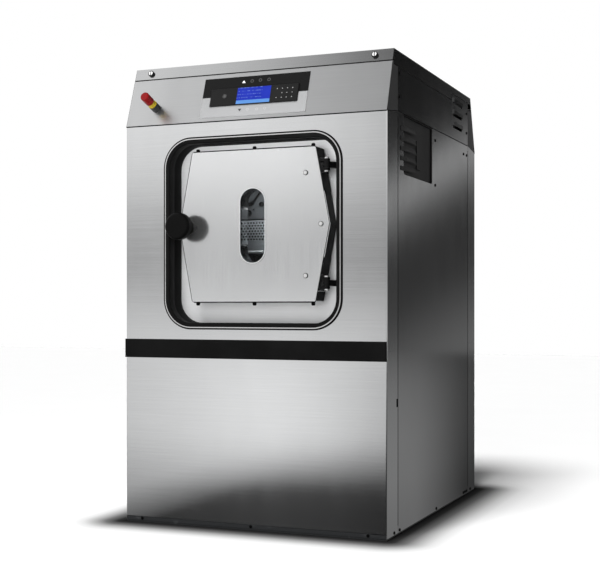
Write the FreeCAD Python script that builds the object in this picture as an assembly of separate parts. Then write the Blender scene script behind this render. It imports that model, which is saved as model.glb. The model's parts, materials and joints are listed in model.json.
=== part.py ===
import FreeCAD
import Part
import math
import os

from FreeCAD import Vector

# Side-loading barrier washer-extractor, loaded at the front and emptied at the rear. Millimetres.
# +X is to the right seen from the front, +Y runs from front to rear, +Z is up.
# The origin is on the floor, under the middle of the cabinet.

# Cabinet
CABINET_WIDTH = 970.0
CABINET_DEPTH = 1170.0
CABINET_HEIGHT = 1610.0
SHEET = 2.0
BEND_RADIUS = 5.0
SEAM = 2.0
FRAME_CLEARANCE = 0.4
FLOOR_GAP = 6.0
RETURN_DEPTH = 116.0
RETURN_LIP = 14.0
RETURN_SLOT_DROP = 160.0
RETURN_SLOT_TALL = 27.0
RETURN_SLOT_DEEP = 16.0
SLOPE_HEIGHT = 216.0
SLOPE_SETBACK = 76.0
SIDE_SEAM_RISE = 16.0
LID_STRIP = 40.0
LID_LIP = 52.0
LID_LIP_SHORT = 26.0
LID_LIP_STEP = 800.0
LID_LIP_INSET = 12.0
LID_REST = 0.3

# Bumper and plinth
BUMPER_DROP = 37.0
BUMPER_HEIGHT = 65.0
BUMPER_DEPTH = 10.5
BUMPER_ROUND = 5.0
BUMPER_SEAM = 0.4
PLINTH_HEIGHT = 20.0
PLINTH_INSET = 3.0

# Base frame and inner frame
RAIL_WIDTH = 60.0
RAIL_HEIGHT = 80.0
RAIL_WALL = 5.0
BEAM_WIDTH = 80.0
BEAM_HEIGHT = 60.0
ANCHOR_Y = 500.0
ANCHOR_RADIUS = 7.0
ANCHOR_ACCESS = 15.0
POST_SIZE = 40.0
POST_WALL = 3.0
TOP_RAIL_DROP = 48.0

# Side openings, louvres and screws
NOTCH_START = 179.0
NOTCH_END = 530.0
NOTCH_HEIGHT = 205.0
NOTCH_RADIUS = 14.0
GRILLE_DEPTH = 8.5
GRILLE_WALL = 3.0
GRILLE_FLANGE = 8.0
SLAT_COUNT = 5
SLAT_PITCH = 33.5
SLAT_RISE = 19.0
SLAT_LENGTH = 158.0
SLAT_REACH = 24.0
SLAT_THICK = 5.0
TIP_START = 146.0
TIP_HEIGHT = 14.0
TIP_THICK = 2.0
GRILLE_POST_START = 349.0
GRILLE_POST_WIDTH = 49.0
GRILLE_POST_RISE = 35.0
GRILLE_POST_HEIGHT = 100.0
GRILLE_POST_PROUD = 3.0
LOUVRE_START = 822.0
LOUVRE_LENGTH = 139.0
LOUVRE_COUNT = 3
LOUVRE_DROP = 48.0
LOUVRE_PITCH = 45.5
LOUVRE_TALL = 18.0
LOUVRE_PROUD = 5.0
SCREW_RADIUS = 5.5
SCREW_HEAD = 2.5
SCREW_SHANK = 2.6
SCREW_PLAY = 0.1
SCREW_FOOT_Z = 13.0
SCREW_ROW_PITCH = 25.0
SCREW_PAIR_PITCH = 48.0
PLINTH_SCREW_INSET = 65.0

# Door opening in the cabinet
OPENING_SIZE = 620.0
OPENING_RADIUS = 83.0
OPENING_DROP = 22.0
RECESS_DEPTH = 88.0
BELLOWS_WALL = 6.0
BELLOWS_LIP = 20.0
BELLOWS_LIP_THICK = 4.0
BELLOWS_FOOT = 18.0
BELLOWS_FOOT_THICK = 5.0
BELLOWS_RIB = 5.0
TRIM_INSET = 3.0
TRIM_WIDTH = 3.5
TRIM_SEAT = 2.0
TRIM_PROUD = 1.0

# Tub doors, one at the front and one at the rear
AXIS_DROP = 576.0
DOOR_HEIGHT = 521.0
DOOR_EDGE_WIDTH = 462.0
DOOR_MID_WIDTH = 560.0
DOOR_SET_BACK = 15.0
DOOR_SHEET = 2.5
DOOR_ROUND = 4.0
DOOR_TUB_GAP = 5.0
WINDOW_WIDTH = 91.0
WINDOW_HEIGHT = 253.0
WINDOW_RIM = 4.5
WINDOW_RIM_PROUD = 1.5
GLASS_THICK = 8.0
GLASS_LAND = 8.0
WELL_WALL = 3.0
LINER_THICK = 4.0
LINER_GAP = 0.2
SEAL_WIDTH = 15.0
SEAL_LAND = 10.0
SEAL_THICK = 9.0
SEAL_GAP = 0.3
SEAL_RADIUS = 40.0
DOOR_SCREW_RADIUS = 9.0
DOOR_SCREW_TALL = 4.0
DOOR_SCREW_X = 195.0
DOOR_SCREW_RISE = 172.0
DOOR_MID_SCREW_X = 250.0

# Door hinges
HINGE_X = 266.0
HINGE_DEPTH = 28.0
HINGE_RISE = 197.0
HINGE_EYE = 11.0
HINGE_PIN = 6.0
HINGE_PLAY = 0.1
HINGE_GAP = 0.5
HINGE_ARM_TALL = 20.0
HINGE_ARM_WIDE = 18.0
HINGE_EAR_TALL = 9.0
HINGE_HEAD_TALL = 4.0
HINGE_HEAD_RADIUS = 9.0
BRACKET_X = 297.0
BRACKET_WIDTH = 22.0
BRACKET_THICK = 8.0
BRACKET_TALL = 36.0
LEAF_THICK = 6.0
LEAF_TALL = 52.0
LEAF_INSET = 6.0
LEAF_BOLT_RADIUS = 7.0
LEAF_BOLT_TALL = 4.0
LEAF_BOLT_SPREAD = 14.0
LEAF_BOLT_INSET = 22.0

# Door knob and latch
KNOB_X = -250.0
KNOB_RADIUS = 46.5
KNOB_THICK = 34.0
KNOB_REACH = 66.0
KNOB_CROWN = 6.0
KNOB_NECK = 17.0
KNOB_FOOT = 26.0
KNOB_FACE_GAP = 0.5
SPINDLE_RADIUS = 10.0
SPINDLE_PLAY = 0.1
SPINDLE_SEAT = 24.0
CAM_LENGTH = 40.0
CAM_WIDTH = 16.0
CAM_BOSS = 14.0
CAM_THICK = 8.0
CAM_LINER_GAP = 4.0
CAM_REST_ANGLE = -33.0
STUD_RISE = 28.0
STUD_NECK = 5.0
STUD_PLAY = 0.1
STUD_HEAD = 12.0
STUD_HEAD_THICK = 6.0
STUD_CAM_GAP = 2.0
STUD_HOLE_ROOM = 6.0

# Tub and drum
TUB_RADIUS = 405.0
TUB_WALL = 3.0
TUB_LENGTH = 450.0
TUB_END = 6.0
THROAT_WIDTH = 390.0
THROAT_HEIGHT = 410.0
PLATE_THICK = 4.0
DRUM_SIDE_ROOM = 30.0
DRUM_WALL = 2.5
DRUM_END_ROOM = 20.0
DRUM_HEAD = 4.0
DRUM_HUB_RADIUS = 80.0
DRUM_HUB_THICK = 12.0
SHAFT_RADIUS = 30.0
SHAFT_SEAL_ROOM = 4.0
BEARING_RADIUS = 45.0
BEARING_WIDTH = 30.0
BEARING_FIT = 0.03
HOUSING_RADIUS = 65.0
HOUSING_LENGTH = 60.0
END_RIB_COUNT = 8
END_RIB_THICK = 6.0
END_RIB_TALL = 25.0
END_RIB_REACH = 375.0
LIFTER_ANGLES = (90.0, 180.0, 270.0)
LIFTER_HEIGHT = 60.0
LIFTER_BASE = 90.0
LIFTER_CREST = 30.0
LIFTER_END_GAP = 1.0
LIFTER_WALL = 2.5
FLAP_SIDE_LAND = 25.0
FLAP_ANGLE = 28.0
FLAP_SPLIT = 5.4
FLAP_GAP = 5.0
FLAP_EDGE_GAP = 1.0
FLAP_HINGE_IN = 9.0
FLAP_HINGE_ANGLE = 2.2
FLAP_KNUCKLE = 7.0
FLAP_PIN = 4.0
FLAP_PLAY = 0.1
FLAP_EAR = 10.0
FLAP_EAR_GAP = 2.0
FLAP_WEB = 6.0

# Drive
DRUM_PULLEY_RADIUS = 180.0
DRUM_PULLEY_RIM = 18.0
DRUM_PULLEY_HUB = 50.0
DRUM_PULLEY_WEB = 10.0
DRUM_PULLEY_HOLES = 5
DRUM_PULLEY_HOLE_RADIUS = 34.0
MOTOR_PULLEY_RADIUS = 36.0
PULLEY_WIDTH = 32.0
PULLEY_FLANGE = 3.0
PULLEY_FLANGE_TALL = 4.0
PULLEY_GAP = 22.0
BELT_GAP = 0.3
BELT_THICK = 6.0
BELT_SIDE_GAP = 1.0
MOTOR_Y = 200.0
MOTOR_DROP = 30.0
MOTOR_RADIUS = 85.0
MOTOR_LENGTH = 240.0
MOTOR_FOOT = 10.0
MOTOR_FOOT_WIDTH = 40.0
MOTOR_BELL = 30.0
MOTOR_BELL_STEP = 10.0
MOTOR_SHAFT = 14.0
MOTOR_SHAFT_PLAY = 0.1

# Cradle, suspension and drain
CRADLE_DROP = 126.0
CRADLE_TUBE = 50.0
CRADLE_TUBE_WALL = 5.0
CRADLE_BEAM_WIDTH = 60.0
CRADLE_BEAM_LENGTH = 720.0
SADDLE_X = 150.0
SADDLE_THICK = 10.0
SADDLE_HEIGHT = 260.0
SADDLE_HALF_DEPTH = 360.0
SADDLE_SHOULDER_RISE = 100.0
SADDLE_TOP_HALF = 330.0
MOTOR_BRACKET_THICK = 8.0
MOTOR_BRACKET_WIDTH = 160.0
SUSPENSION_Y = 330.0
SPRING_X = 310.0
SPRING_RADIUS = 45.0
SPRING_WALL = 4.0
DAMPER_X = 230.0
DAMPER_RADIUS = 24.0
DAMPER_ROD = 15.0
DAMPER_PLAY = 0.1
DAMPER_FLOOR = 10.0
DAMPER_ROD_SHOWN = 60.0
DAMPER_ROD_START = 40.0
DRAIN_Y = -60.0
DRAIN_NECK = 38.0
DRAIN_BORE = 32.0
DRAIN_VALVE_RADIUS = 48.0
DRAIN_VALVE_LENGTH = 120.0
DRAIN_VALVE_DROP = 111.0
DRAIN_TAIL = 87.0
DRAIN_SOCKET_GAP = 4.0
DRAIN_SOCKET_WALL = 6.0
DRAIN_SOCKET_LAP = 50.0
DRAIN_BEND = 80.0
DRAIN_Z = 170.0
ACTUATOR_SIZE = 70.0

# Water inlets on the left side
INLET_COUNT = 3
INLET_PITCH = 100.0
INLET_RADIUS = 13.1
INLET_LENGTH = 24.0
INLET_NUT = 19.0
INLET_NUT_THICK = 8.0
INLET_PAN_DEPTH = 45.0

# Controls on the leaning panel: distances across the panel and up the slope
OVERLAY_WIDTH = 395.0
OVERLAY_LOW = 15.0
OVERLAY_HIGH = 167.0
OVERLAY_THICK = 1.0
BEZEL_WIDTH = 328.0
BEZEL_LOW = 56.0
BEZEL_HIGH = 122.0
BEZEL_THICK = 7.0
BEZEL_ROUND = 2.0
SCREEN_WIDTH = 125.0
SCREEN_LOW = 58.0
SCREEN_HIGH = 120.0
SCREEN_THICK = 2.0
CONTROL_BOX_WIDTH = 340.0
CONTROL_BOX_LOW = 25.0
CONTROL_BOX_HIGH = 155.0
CONTROL_BOX_DEPTH = 50.0
ESTOP_SIDE_INSET = 109.0
ESTOP_UP = 67.0
ESTOP_RADIUS = 16.0
ESTOP_BASE = 31.0
ESTOP_RING_SHOWN = 19.0
ESTOP_HEAD = 41.0
ESTOP_RING_RADIUS = 14.4
ESTOP_SKIRT = 6.0
ESTOP_SKIRT_PLAY = 0.3
ESTOP_CAP = 20.0
ESTOP_ROUND = 5.0
ESTOP_BARREL = 11.0
ESTOP_BARREL_LENGTH = 45.0
ESTOP_STEM = 5.0
ESTOP_PLAY = 0.1
LOCK_SIDE_INSET = 64.0
LOCK_HEAD = 11.0
LOCK_HEAD_TALL = 8.0
LOCK_BARREL = 8.0
LOCK_BARREL_LENGTH = 22.0
LOCK_PLAY = 0.1
LOCK_CAM = 34.0
LOCK_CAM_WIDTH = 14.0
LOCK_CAM_THICK = 4.0
LOCK_SLOT_WIDTH = 3.0
LOCK_SLOT_DEPTH = 2.0
LOCK_SEAT_GAP = 0.2

# Places worked out from the sizes above
HALF_WIDTH = CABINET_WIDTH / 2
FRONT = -CABINET_DEPTH / 2
SIDE_START = FRONT + RETURN_DEPTH + SEAM
SLOPE_FOOT = CABINET_HEIGHT - SLOPE_HEIGHT
SLOPE_ANGLE = math.degrees(math.atan2(SLOPE_SETBACK, SLOPE_HEIGHT))
SLOPE_SHEET = SHEET / math.cos(math.radians(SLOPE_ANGLE))
SIDE_SEAM = SLOPE_FOOT + SIDE_SEAM_RISE
NOTCH_LOW = SIDE_SEAM - NOTCH_HEIGHT
AXIS_Z = CABINET_HEIGHT - AXIS_DROP
OPENING_Z = AXIS_Z - OPENING_DROP
OPENING_HALF = OPENING_SIZE / 2
BUMPER_HIGH = OPENING_Z - OPENING_HALF - BELLOWS_LIP - BUMPER_DROP
BUMPER_LOW = BUMPER_HIGH - BUMPER_HEIGHT
BUMPER_MIDDLE = (BUMPER_LOW + BUMPER_HIGH) / 2
PLINTH_SCREW_X = HALF_WIDTH - PLINTH_SCREW_INSET
ESTOP_X = ESTOP_SIDE_INSET - HALF_WIDTH
LOCK_X = HALF_WIDTH - LOCK_SIDE_INSET
LOCK_UP = (SLOPE_HEIGHT - LID_STRIP / 2) / math.cos(math.radians(SLOPE_ANGLE))
RAIL_OUT = HALF_WIDTH - SHEET - FRAME_CLEARANCE
RAIL_IN = RAIL_OUT - RAIL_WIDTH
RAIL_END = FRONT + SHEET + FRAME_CLEARANCE
POST_START = FRONT + RETURN_DEPTH + FRAME_CLEARANCE
BEAM_TOP = RAIL_HEIGHT + BEAM_HEIGHT
PLATE_Y = FRONT + RECESS_DEPTH
DOOR_FACE = FRONT + DOOR_SET_BACK
DOOR_REAR = PLATE_Y - DOOR_TUB_GAP
LINER_REAR = PLATE_Y - SEAL_GAP - SEAL_THICK
LINER_FRONT = LINER_REAR - LINER_THICK
CAM_REAR = LINER_FRONT - CAM_LINER_GAP
CAM_FRONT = CAM_REAR - CAM_THICK
STUD_HEAD_REAR = CAM_FRONT - STUD_CAM_GAP
HINGE_Y = FRONT + HINGE_DEPTH
TUB_OUTER = TUB_RADIUS + TUB_WALL
TUB_HALF = TUB_LENGTH / 2
HOUSING_START = TUB_HALF + TUB_END
HOUSING_END = HOUSING_START + HOUSING_LENGTH
DRUM_RADIUS = TUB_RADIUS - DRUM_SIDE_ROOM
DRUM_INNER = DRUM_RADIUS - DRUM_WALL
DRUM_LENGTH = TUB_LENGTH - 2 * DRUM_END_ROOM
DRUM_HALF = DRUM_LENGTH / 2
FLAP_WIDTH = DRUM_LENGTH - 2 * FLAP_SIDE_LAND
PULLEY_RIGHT = -HOUSING_END - PULLEY_GAP
PULLEY_LEFT = PULLEY_RIGHT - PULLEY_WIDTH
CRADLE_Z = AXIS_Z - TUB_OUTER - CRADLE_DROP
CRADLE_LOW = CRADLE_Z - CRADLE_TUBE
SADDLE_SHOULDER = CRADLE_Z + SADDLE_SHOULDER_RISE
SADDLE_TOP = CRADLE_Z + SADDLE_HEIGHT
MOTOR_Z = CRADLE_Z - MOTOR_DROP
DAMPER_LENGTH = CRADLE_LOW - BEAM_TOP - DAMPER_ROD_SHOWN
DRAIN_VALVE_Z = AXIS_Z - TUB_OUTER - DRAIN_VALVE_DROP
DRAIN_TAIL_LOW = DRAIN_VALVE_Z - DRAIN_VALVE_RADIUS - DRAIN_TAIL
DRAIN_SOCKET_TOP = DRAIN_TAIL_LOW + DRAIN_SOCKET_LAP
ALONG_X = Vector(1, 0, 0)
ALONG_Y = Vector(0, 1, 0)
ALONG_Z = Vector(0, 0, 1)
CENTRE = Vector(0, 0, 0)
DRUM_CENTRE = Vector(0, 0, AXIS_Z)
PAST = 1.0


# Shapes used throughout

def box(x0, x1, y0, y1, z0, z1):
    return Part.makeBox(x1 - x0, y1 - y0, z1 - z0, Vector(x0, y0, z0))


def rod(start, axis, radius, length):
    return Part.makeCylinder(radius, length, start, axis)


def pipe(start, axis, outer, inner, length):
    return rod(start, axis, outer, length).cut(rod(start, axis, inner, length))


def prism(points, reach):
    return Part.Face(Part.makePolygon(points + points[:1])).extrude(reach)


def prism_along_x(points, x0, x1):
    return prism([Vector(x0, y, z) for y, z in points], Vector(x1 - x0, 0, 0))


def prism_along_y(points, y0, y1):
    return prism([Vector(x, y0, z) for x, z in points], Vector(0, y1 - y0, 0))


def prism_along_z(points, z0, z1):
    return prism([Vector(x, y, z0) for x, y in points], Vector(0, 0, z1 - z0))


def runs_along(edge, axis):
    return edge.Curve.TypeId == "Part::GeomLine" and abs(edge.tangentAt(edge.FirstParameter).dot(axis)) > 0.999


def round_edges(solid, axis, radius, wanted=lambda place: True):
    edges = [e for e in solid.Edges if runs_along(e, axis) and wanted(e.CenterOfMass)]
    return solid.makeFillet(radius, edges)


def rounded_block(half, radius, centre_z, y0, y1):
    block = box(-half, half, y0, y1, centre_z - half, centre_z + half)
    return round_edges(block, ALONG_Y, radius)


def rounded_ring(outer, inner, corner, y0, y1):
    # The corner radius is given at the clear opening and grows with the distance from it
    outside = rounded_block(outer, corner + outer - OPENING_HALF, OPENING_Z, y0, y1)
    return outside.cut(rounded_block(inner, corner + inner - OPENING_HALF, OPENING_Z, y0 - PAST, y1 + PAST))


def stadium(width, height, y0, y1):
    straight = (height - width) / 2
    solid = box(-width / 2, width / 2, y0, y1, AXIS_Z - straight, AXIS_Z + straight)
    for z in (AXIS_Z - straight, AXIS_Z + straight):
        solid = solid.fuse(rod(Vector(0, y0, z), ALONG_Y, width / 2, y1 - y0))
    return solid.removeSplitter()


def at_rear(shape):
    turned = shape.copy()
    turned.rotate(CENTRE, ALONG_Z, 180)
    return turned


def at_left(shape):
    return shape.mirror(CENTRE, ALONG_X)


def merge(first, *others):
    return first.fuse(list(others)).removeSplitter()


def on_slope(shape):
    # Local X stays across the panel, local Y runs up the slope, local Z stands out of the panel
    turn = FreeCAD.Rotation(ALONG_X, 90 - SLOPE_ANGLE)
    placed = shape.copy()
    placed.Placement = FreeCAD.Placement(Vector(0, FRONT, SLOPE_FOOT), turn)
    return placed


def slope_y(z):
    return FRONT + SLOPE_SETBACK * (z - SLOPE_FOOT) / (CABINET_HEIGHT - SLOPE_FOOT)


def drum_arc(x0, x1, r0, r1, start, end):
    # Angles rise from the front, over the top, about the drum's axis
    corners = [Vector(x, -r, AXIS_Z) for x, r in ((x0, r0), (x1, r0), (x1, r1), (x0, r1))]
    face = Part.Face(Part.makePolygon(corners + corners[:1]))
    face.rotate(DRUM_CENTRE, -ALONG_X, start)
    return face.revolve(DRUM_CENTRE, -ALONG_X, end - start)


def drum_point(x, radius, angle):
    turn = math.radians(angle)
    return Vector(x, -radius * math.cos(turn), AXIS_Z + radius * math.sin(turn))


# Base and inner frame

def hollow_rail(x0, x1, y0, y1, z0, z1, wall, axis):
    room = {"x": (0, wall, wall), "y": (wall, 0, wall), "z": (wall, wall, 0)}[axis]
    inner = box(x0 + room[0], x1 - room[0], y0 + room[1], y1 - room[1], z0 + room[2], z1 - room[2])
    return box(x0, x1, y0, y1, z0, z1).cut(inner)


def base_frame():
    right = hollow_rail(RAIL_IN, RAIL_OUT, RAIL_END, -RAIL_END, 0, RAIL_HEIGHT, RAIL_WALL, "y")
    right = round_edges(right, ALONG_Z, BEND_RADIUS - SHEET, lambda place: place.x > RAIL_OUT - FRAME_CLEARANCE)
    middle = (RAIL_IN + RAIL_OUT) / 2
    for y in (-ANCHOR_Y, ANCHOR_Y):
        right = right.cut(rod(Vector(middle, y, -PAST), ALONG_Z, ANCHOR_RADIUS, RAIL_HEIGHT / 2))
        right = right.cut(rod(Vector(middle, y, RAIL_HEIGHT / 2), ALONG_Z, ANCHOR_ACCESS, RAIL_HEIGHT))
    front = hollow_rail(-RAIL_IN, RAIL_IN, RAIL_END, RAIL_END + RAIL_WIDTH, 0, RAIL_HEIGHT, RAIL_WALL, "x")
    beam_front = -SUSPENSION_Y - BEAM_WIDTH / 2
    beam_back = beam_front + BEAM_WIDTH
    beam = hollow_rail(-RAIL_OUT, RAIL_OUT, beam_front, beam_back, RAIL_HEIGHT, BEAM_TOP, RAIL_WALL, "x")
    strip_half = HALF_WIDTH - PLINTH_INSET - SEAM
    strip = box(-strip_half, strip_half, RAIL_END - SHEET, RAIL_END, FLOOR_GAP, PLINTH_HEIGHT - SEAM)
    for x in (-PLINTH_SCREW_X, 0, PLINTH_SCREW_X):
        bore = SCREW_SHANK + SCREW_PLAY
        strip = strip.cut(rod(Vector(x, FRONT - PAST, SCREW_FOOT_Z), ALONG_Y, bore, 10 * SHEET))
        front = front.cut(rod(Vector(x, FRONT, SCREW_FOOT_Z), ALONG_Y, bore, RAIL_WIDTH / 2))
    half = [front, beam, strip]
    return Part.makeCompound([right, at_left(right)] + half + [at_rear(piece) for piece in half])


def inner_frame():
    top = CABINET_HEIGHT - SHEET - LID_REST
    rail_top = top - TOP_RAIL_DROP
    rail_low = rail_top - POST_SIZE
    inside = RAIL_OUT - POST_SIZE
    behind = POST_START + POST_SIZE
    post = hollow_rail(inside, RAIL_OUT, POST_START, behind, RAIL_HEIGHT, top, POST_WALL, "z")
    cross = hollow_rail(-inside, inside, POST_START, behind, rail_low, rail_top, POST_WALL, "x")
    side = hollow_rail(inside, RAIL_OUT, behind, -behind, rail_low, rail_top, POST_WALL, "y")
    front = [post, at_left(post), cross]
    return Part.makeCompound(front + [at_rear(piece) for piece in front] + [side, at_left(side)])


# Cabinet panels

def folded_front(low, high, lip_low):
    def near_front(place):
        return place.y < FRONT + BEND_RADIUS

    outside = box(-HALF_WIDTH, HALF_WIDTH, FRONT, FRONT + RETURN_DEPTH, low, high)
    outside = round_edges(outside, ALONG_Z, BEND_RADIUS, near_front)
    wide = HALF_WIDTH - SHEET
    inside = box(-wide, wide, FRONT + SHEET, FRONT + RETURN_DEPTH + PAST, low - PAST, high + PAST)
    inside = round_edges(inside, ALONG_Z, BEND_RADIUS - SHEET, near_front)
    lip_end = FRONT + RETURN_DEPTH
    lip = box(wide - RETURN_LIP, wide, lip_end - SHEET, lip_end, lip_low, high)
    return merge(outside.cut(inside), lip, at_left(lip))


def front_upper_panel():
    low = BUMPER_MIDDLE + BUMPER_SEAM / 2
    top_front = SLOPE_FOOT - SEAM / 2
    top_rear = SIDE_SEAM - SEAM / 2
    panel = folded_front(low, top_rear, low)
    rear = FRONT + RETURN_DEPTH
    above = [(FRONT - PAST, top_front), (FRONT + SHEET, top_front), (rear + PAST, top_rear + PAST)]
    above = above + [(rear + PAST, top_rear + 2 * PAST), (FRONT - PAST, top_rear + 2 * PAST)]
    panel = panel.cut(prism_along_x(above, -HALF_WIDTH - PAST, HALF_WIDTH + PAST))
    cut = OPENING_HALF + BELLOWS_WALL + FRAME_CLEARANCE
    radius = OPENING_RADIUS + cut - OPENING_HALF
    return panel.cut(rounded_block(cut, radius, OPENING_Z, FRONT - PAST, FRONT + SHEET + PAST))


def lower_panel_blank():
    panel = folded_front(FLOOR_GAP, BUMPER_MIDDLE - BUMPER_SEAM / 2, RAIL_HEIGHT + SEAM)
    strip = HALF_WIDTH - PLINTH_INSET
    bend_end = FRONT + SHEET + BEND_RADIUS
    panel = panel.cut(box(-strip, strip, FRONT - PAST, bend_end, FLOOR_GAP - PAST, PLINTH_HEIGHT))
    hole_y = FRONT + RETURN_DEPTH * 2 / 3
    across = Vector(-HALF_WIDTH - PAST, hole_y, SCREW_FOOT_Z)
    return panel.cut(rod(across, ALONG_X, SCREW_SHANK + SCREW_PLAY, CABINET_WIDTH + 2 * PAST))


def front_lower_panel():
    # The right return has a half slot at its seam
    slot_high = BUMPER_MIDDLE - RETURN_SLOT_DROP
    slot_end = FRONT + RETURN_DEPTH + PAST
    slot = box(HALF_WIDTH - SHEET - RETURN_LIP - PAST, HALF_WIDTH + PAST,
               slot_end - RETURN_SLOT_DEEP - PAST, slot_end, slot_high - RETURN_SLOT_TALL, slot_high)
    return lower_panel_blank().cut(slot)


def control_panel_blank():
    low = SLOPE_FOOT + SEAM / 2
    side_low = SIDE_SEAM + SEAM / 2
    high = CABINET_HEIGHT - LID_STRIP - SEAM
    side_high = CABINET_HEIGHT - LID_LIP - SEAM
    rear = FRONT + RETURN_DEPTH
    notch = slope_y(CABINET_HEIGHT - LID_STRIP) + LID_LIP_INSET - SEAM
    skin = [(slope_y(low), low), (slope_y(high), high)]
    skin = skin + [(slope_y(high) + SLOPE_SHEET, high), (slope_y(low) + SLOPE_SHEET, low)]
    face = prism_along_x(skin, -HALF_WIDTH, HALF_WIDTH)
    outline = [(slope_y(low), low), (slope_y(high), high), (notch, high), (notch, side_high)]
    outline = outline + [(rear, side_high), (rear, side_low)]
    side = prism_along_x(outline, HALF_WIDTH - SHEET, HALF_WIDTH)
    return merge(face, side, at_left(side))


def estop_hole():
    return on_slope(rod(Vector(ESTOP_X, ESTOP_UP, -5 * SHEET), ALONG_Z, ESTOP_BARREL + ESTOP_PLAY, 10 * SHEET))


def front_control_panel():
    half = SCREEN_WIDTH / 2
    window = on_slope(box(-half, half, SCREEN_LOW, SCREEN_HIGH, -5 * SHEET, 5 * SHEET))
    return control_panel_blank().cut(estop_hole()).cut(window)


def rear_control_panel():
    return at_rear(control_panel_blank().cut(estop_hole()))


def lower_side_screws():
    post_y = POST_START + POST_SIZE / 2
    foot = [(post_y, SCREW_FOOT_Z), (0, SCREW_FOOT_Z)]
    foot = foot + [(-post_y - number * SCREW_ROW_PITCH, SCREW_FOOT_Z) for number in range(3)]
    notch_side = FRONT + NOTCH_END + POST_SIZE
    top = SIDE_SEAM - POST_SIZE
    rear_top = [(-post_y, top), (-post_y - SCREW_PAIR_PITCH, top)]
    return foot + [(notch_side, top), (notch_side, NOTCH_LOW)] + rear_top


def upper_side_screws():
    post_y = POST_START + POST_SIZE / 2
    rows = (SIDE_SEAM + POST_SIZE * 5 / 4, CABINET_HEIGHT - LID_LIP - POST_SIZE / 2)
    return [(y, z) for y in (post_y, -post_y) for z in rows]


def drill_side(panel, places):
    for y, z in places:
        hole = rod(Vector(HALF_WIDTH - 2 * SHEET, y, z), ALONG_X, SCREW_SHANK + SCREW_PLAY, 3 * SHEET)
        panel = panel.cut(hole)
    return panel


def lower_side_panel():
    # The vent opening is a notch in the upper edge, with rounded lower corners
    panel = box(HALF_WIDTH - SHEET, HALF_WIDTH, SIDE_START, -SIDE_START, FLOOR_GAP, SIDE_SEAM - SEAM / 2)
    notch = box(HALF_WIDTH - 2 * SHEET, HALF_WIDTH + SHEET, FRONT + NOTCH_START, FRONT + NOTCH_END,
                NOTCH_LOW, SIDE_SEAM + NOTCH_RADIUS)
    notch = round_edges(notch, ALONG_X, NOTCH_RADIUS, lambda place: place.z < SIDE_SEAM)
    return drill_side(panel.cut(notch), lower_side_screws())


def louvre_hood(z):
    # A pressed hood, open along its lower edge
    y0 = FRONT + LOUVRE_START
    hood = box(HALF_WIDTH - SHEET, HALF_WIDTH + LOUVRE_PROUD, y0, y0 + LOUVRE_LENGTH,
               z - LOUVRE_TALL / 2, z + LOUVRE_TALL / 2)
    crown = [e for e in hood.Edges if e.BoundBox.XMin > HALF_WIDTH and e.CenterOfMass.z > z - LOUVRE_TALL / 4]
    hood = hood.makeChamfer(LOUVRE_PROUD - SHEET / 2, crown)
    hollow = box(HALF_WIDTH - 2 * SHEET, HALF_WIDTH + LOUVRE_PROUD - SHEET, y0 + 2 * SHEET,
                 y0 + LOUVRE_LENGTH - 2 * SHEET, z - LOUVRE_TALL, z + LOUVRE_TALL / 2 - 2 * SHEET)
    return hood, hollow


def upper_side_panel():
    low = SIDE_SEAM + SEAM / 2
    high = CABINET_HEIGHT - LID_LIP - SEAM
    step_high = CABINET_HEIGHT - LID_LIP_SHORT - SEAM
    step = FRONT + LID_LIP_STEP + SEAM
    outline = [(SIDE_START, low), (-SIDE_START, low), (-SIDE_START, high), (-SIDE_START, step_high)]
    outline = outline + [(step, step_high), (step, high), (SIDE_START, high)]
    panel = prism_along_x(outline, HALF_WIDTH - SHEET, HALF_WIDTH)
    for number in range(LOUVRE_COUNT):
        hood, hollow = louvre_hood(CABINET_HEIGHT - LOUVRE_DROP - number * LOUVRE_PITCH)
        panel = panel.fuse(hood).cut(hollow)
    return drill_side(panel.removeSplitter(), upper_side_screws())


def vent_grille():
    # A shallow tray behind the notch, with slats whose tips hook over the notch's front edge
    y0 = FRONT + NOTCH_START
    y1 = FRONT + NOTCH_END
    outside = HALF_WIDTH - SHEET
    inside = outside - GRILLE_DEPTH
    floor = inside + GRILLE_WALL
    top = SIDE_SEAM - SEAM
    tray = box(inside, outside, y0 - GRILLE_FLANGE, y1 + GRILLE_FLANGE, NOTCH_LOW - GRILLE_FLANGE, top)
    room = box(floor, outside + PAST, y0, y1, NOTCH_LOW, top - GRILLE_WALL)
    room = round_edges(room, ALONG_X, NOTCH_RADIUS, lambda place: place.z < SIDE_SEAM - NOTCH_RADIUS)
    pieces = []
    for number in range(SLAT_COUNT):
        z = NOTCH_LOW + SLAT_RISE + number * SLAT_PITCH
        slope = [(floor, z + SLAT_REACH / 2), (outside, z - SLAT_THICK)]
        slope = slope + [(outside, z), (floor, z + SLAT_REACH / 2 + SLAT_THICK)]
        pieces.append(prism_along_y(slope, y0, y0 + SLAT_LENGTH))
        low = z - TIP_HEIGHT / 2
        high = z + TIP_HEIGHT / 2
        proud = HALF_WIDTH + TIP_THICK
        hook_y = y0 + SEAM
        pieces.append(box(outside - SLAT_THICK, proud, hook_y, hook_y + SLAT_REACH, low, high))
        pieces.append(box(HALF_WIDTH, proud, FRONT + TIP_START, hook_y, low, high))
    post_y = FRONT + GRILLE_POST_START
    post_z = NOTCH_LOW + GRILLE_POST_RISE
    pieces.append(box(floor, floor + GRILLE_POST_PROUD, post_y, post_y + GRILLE_POST_WIDTH,
                      post_z, post_z + GRILLE_POST_HEIGHT))
    return merge(tray.cut(room), *pieces)


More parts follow.
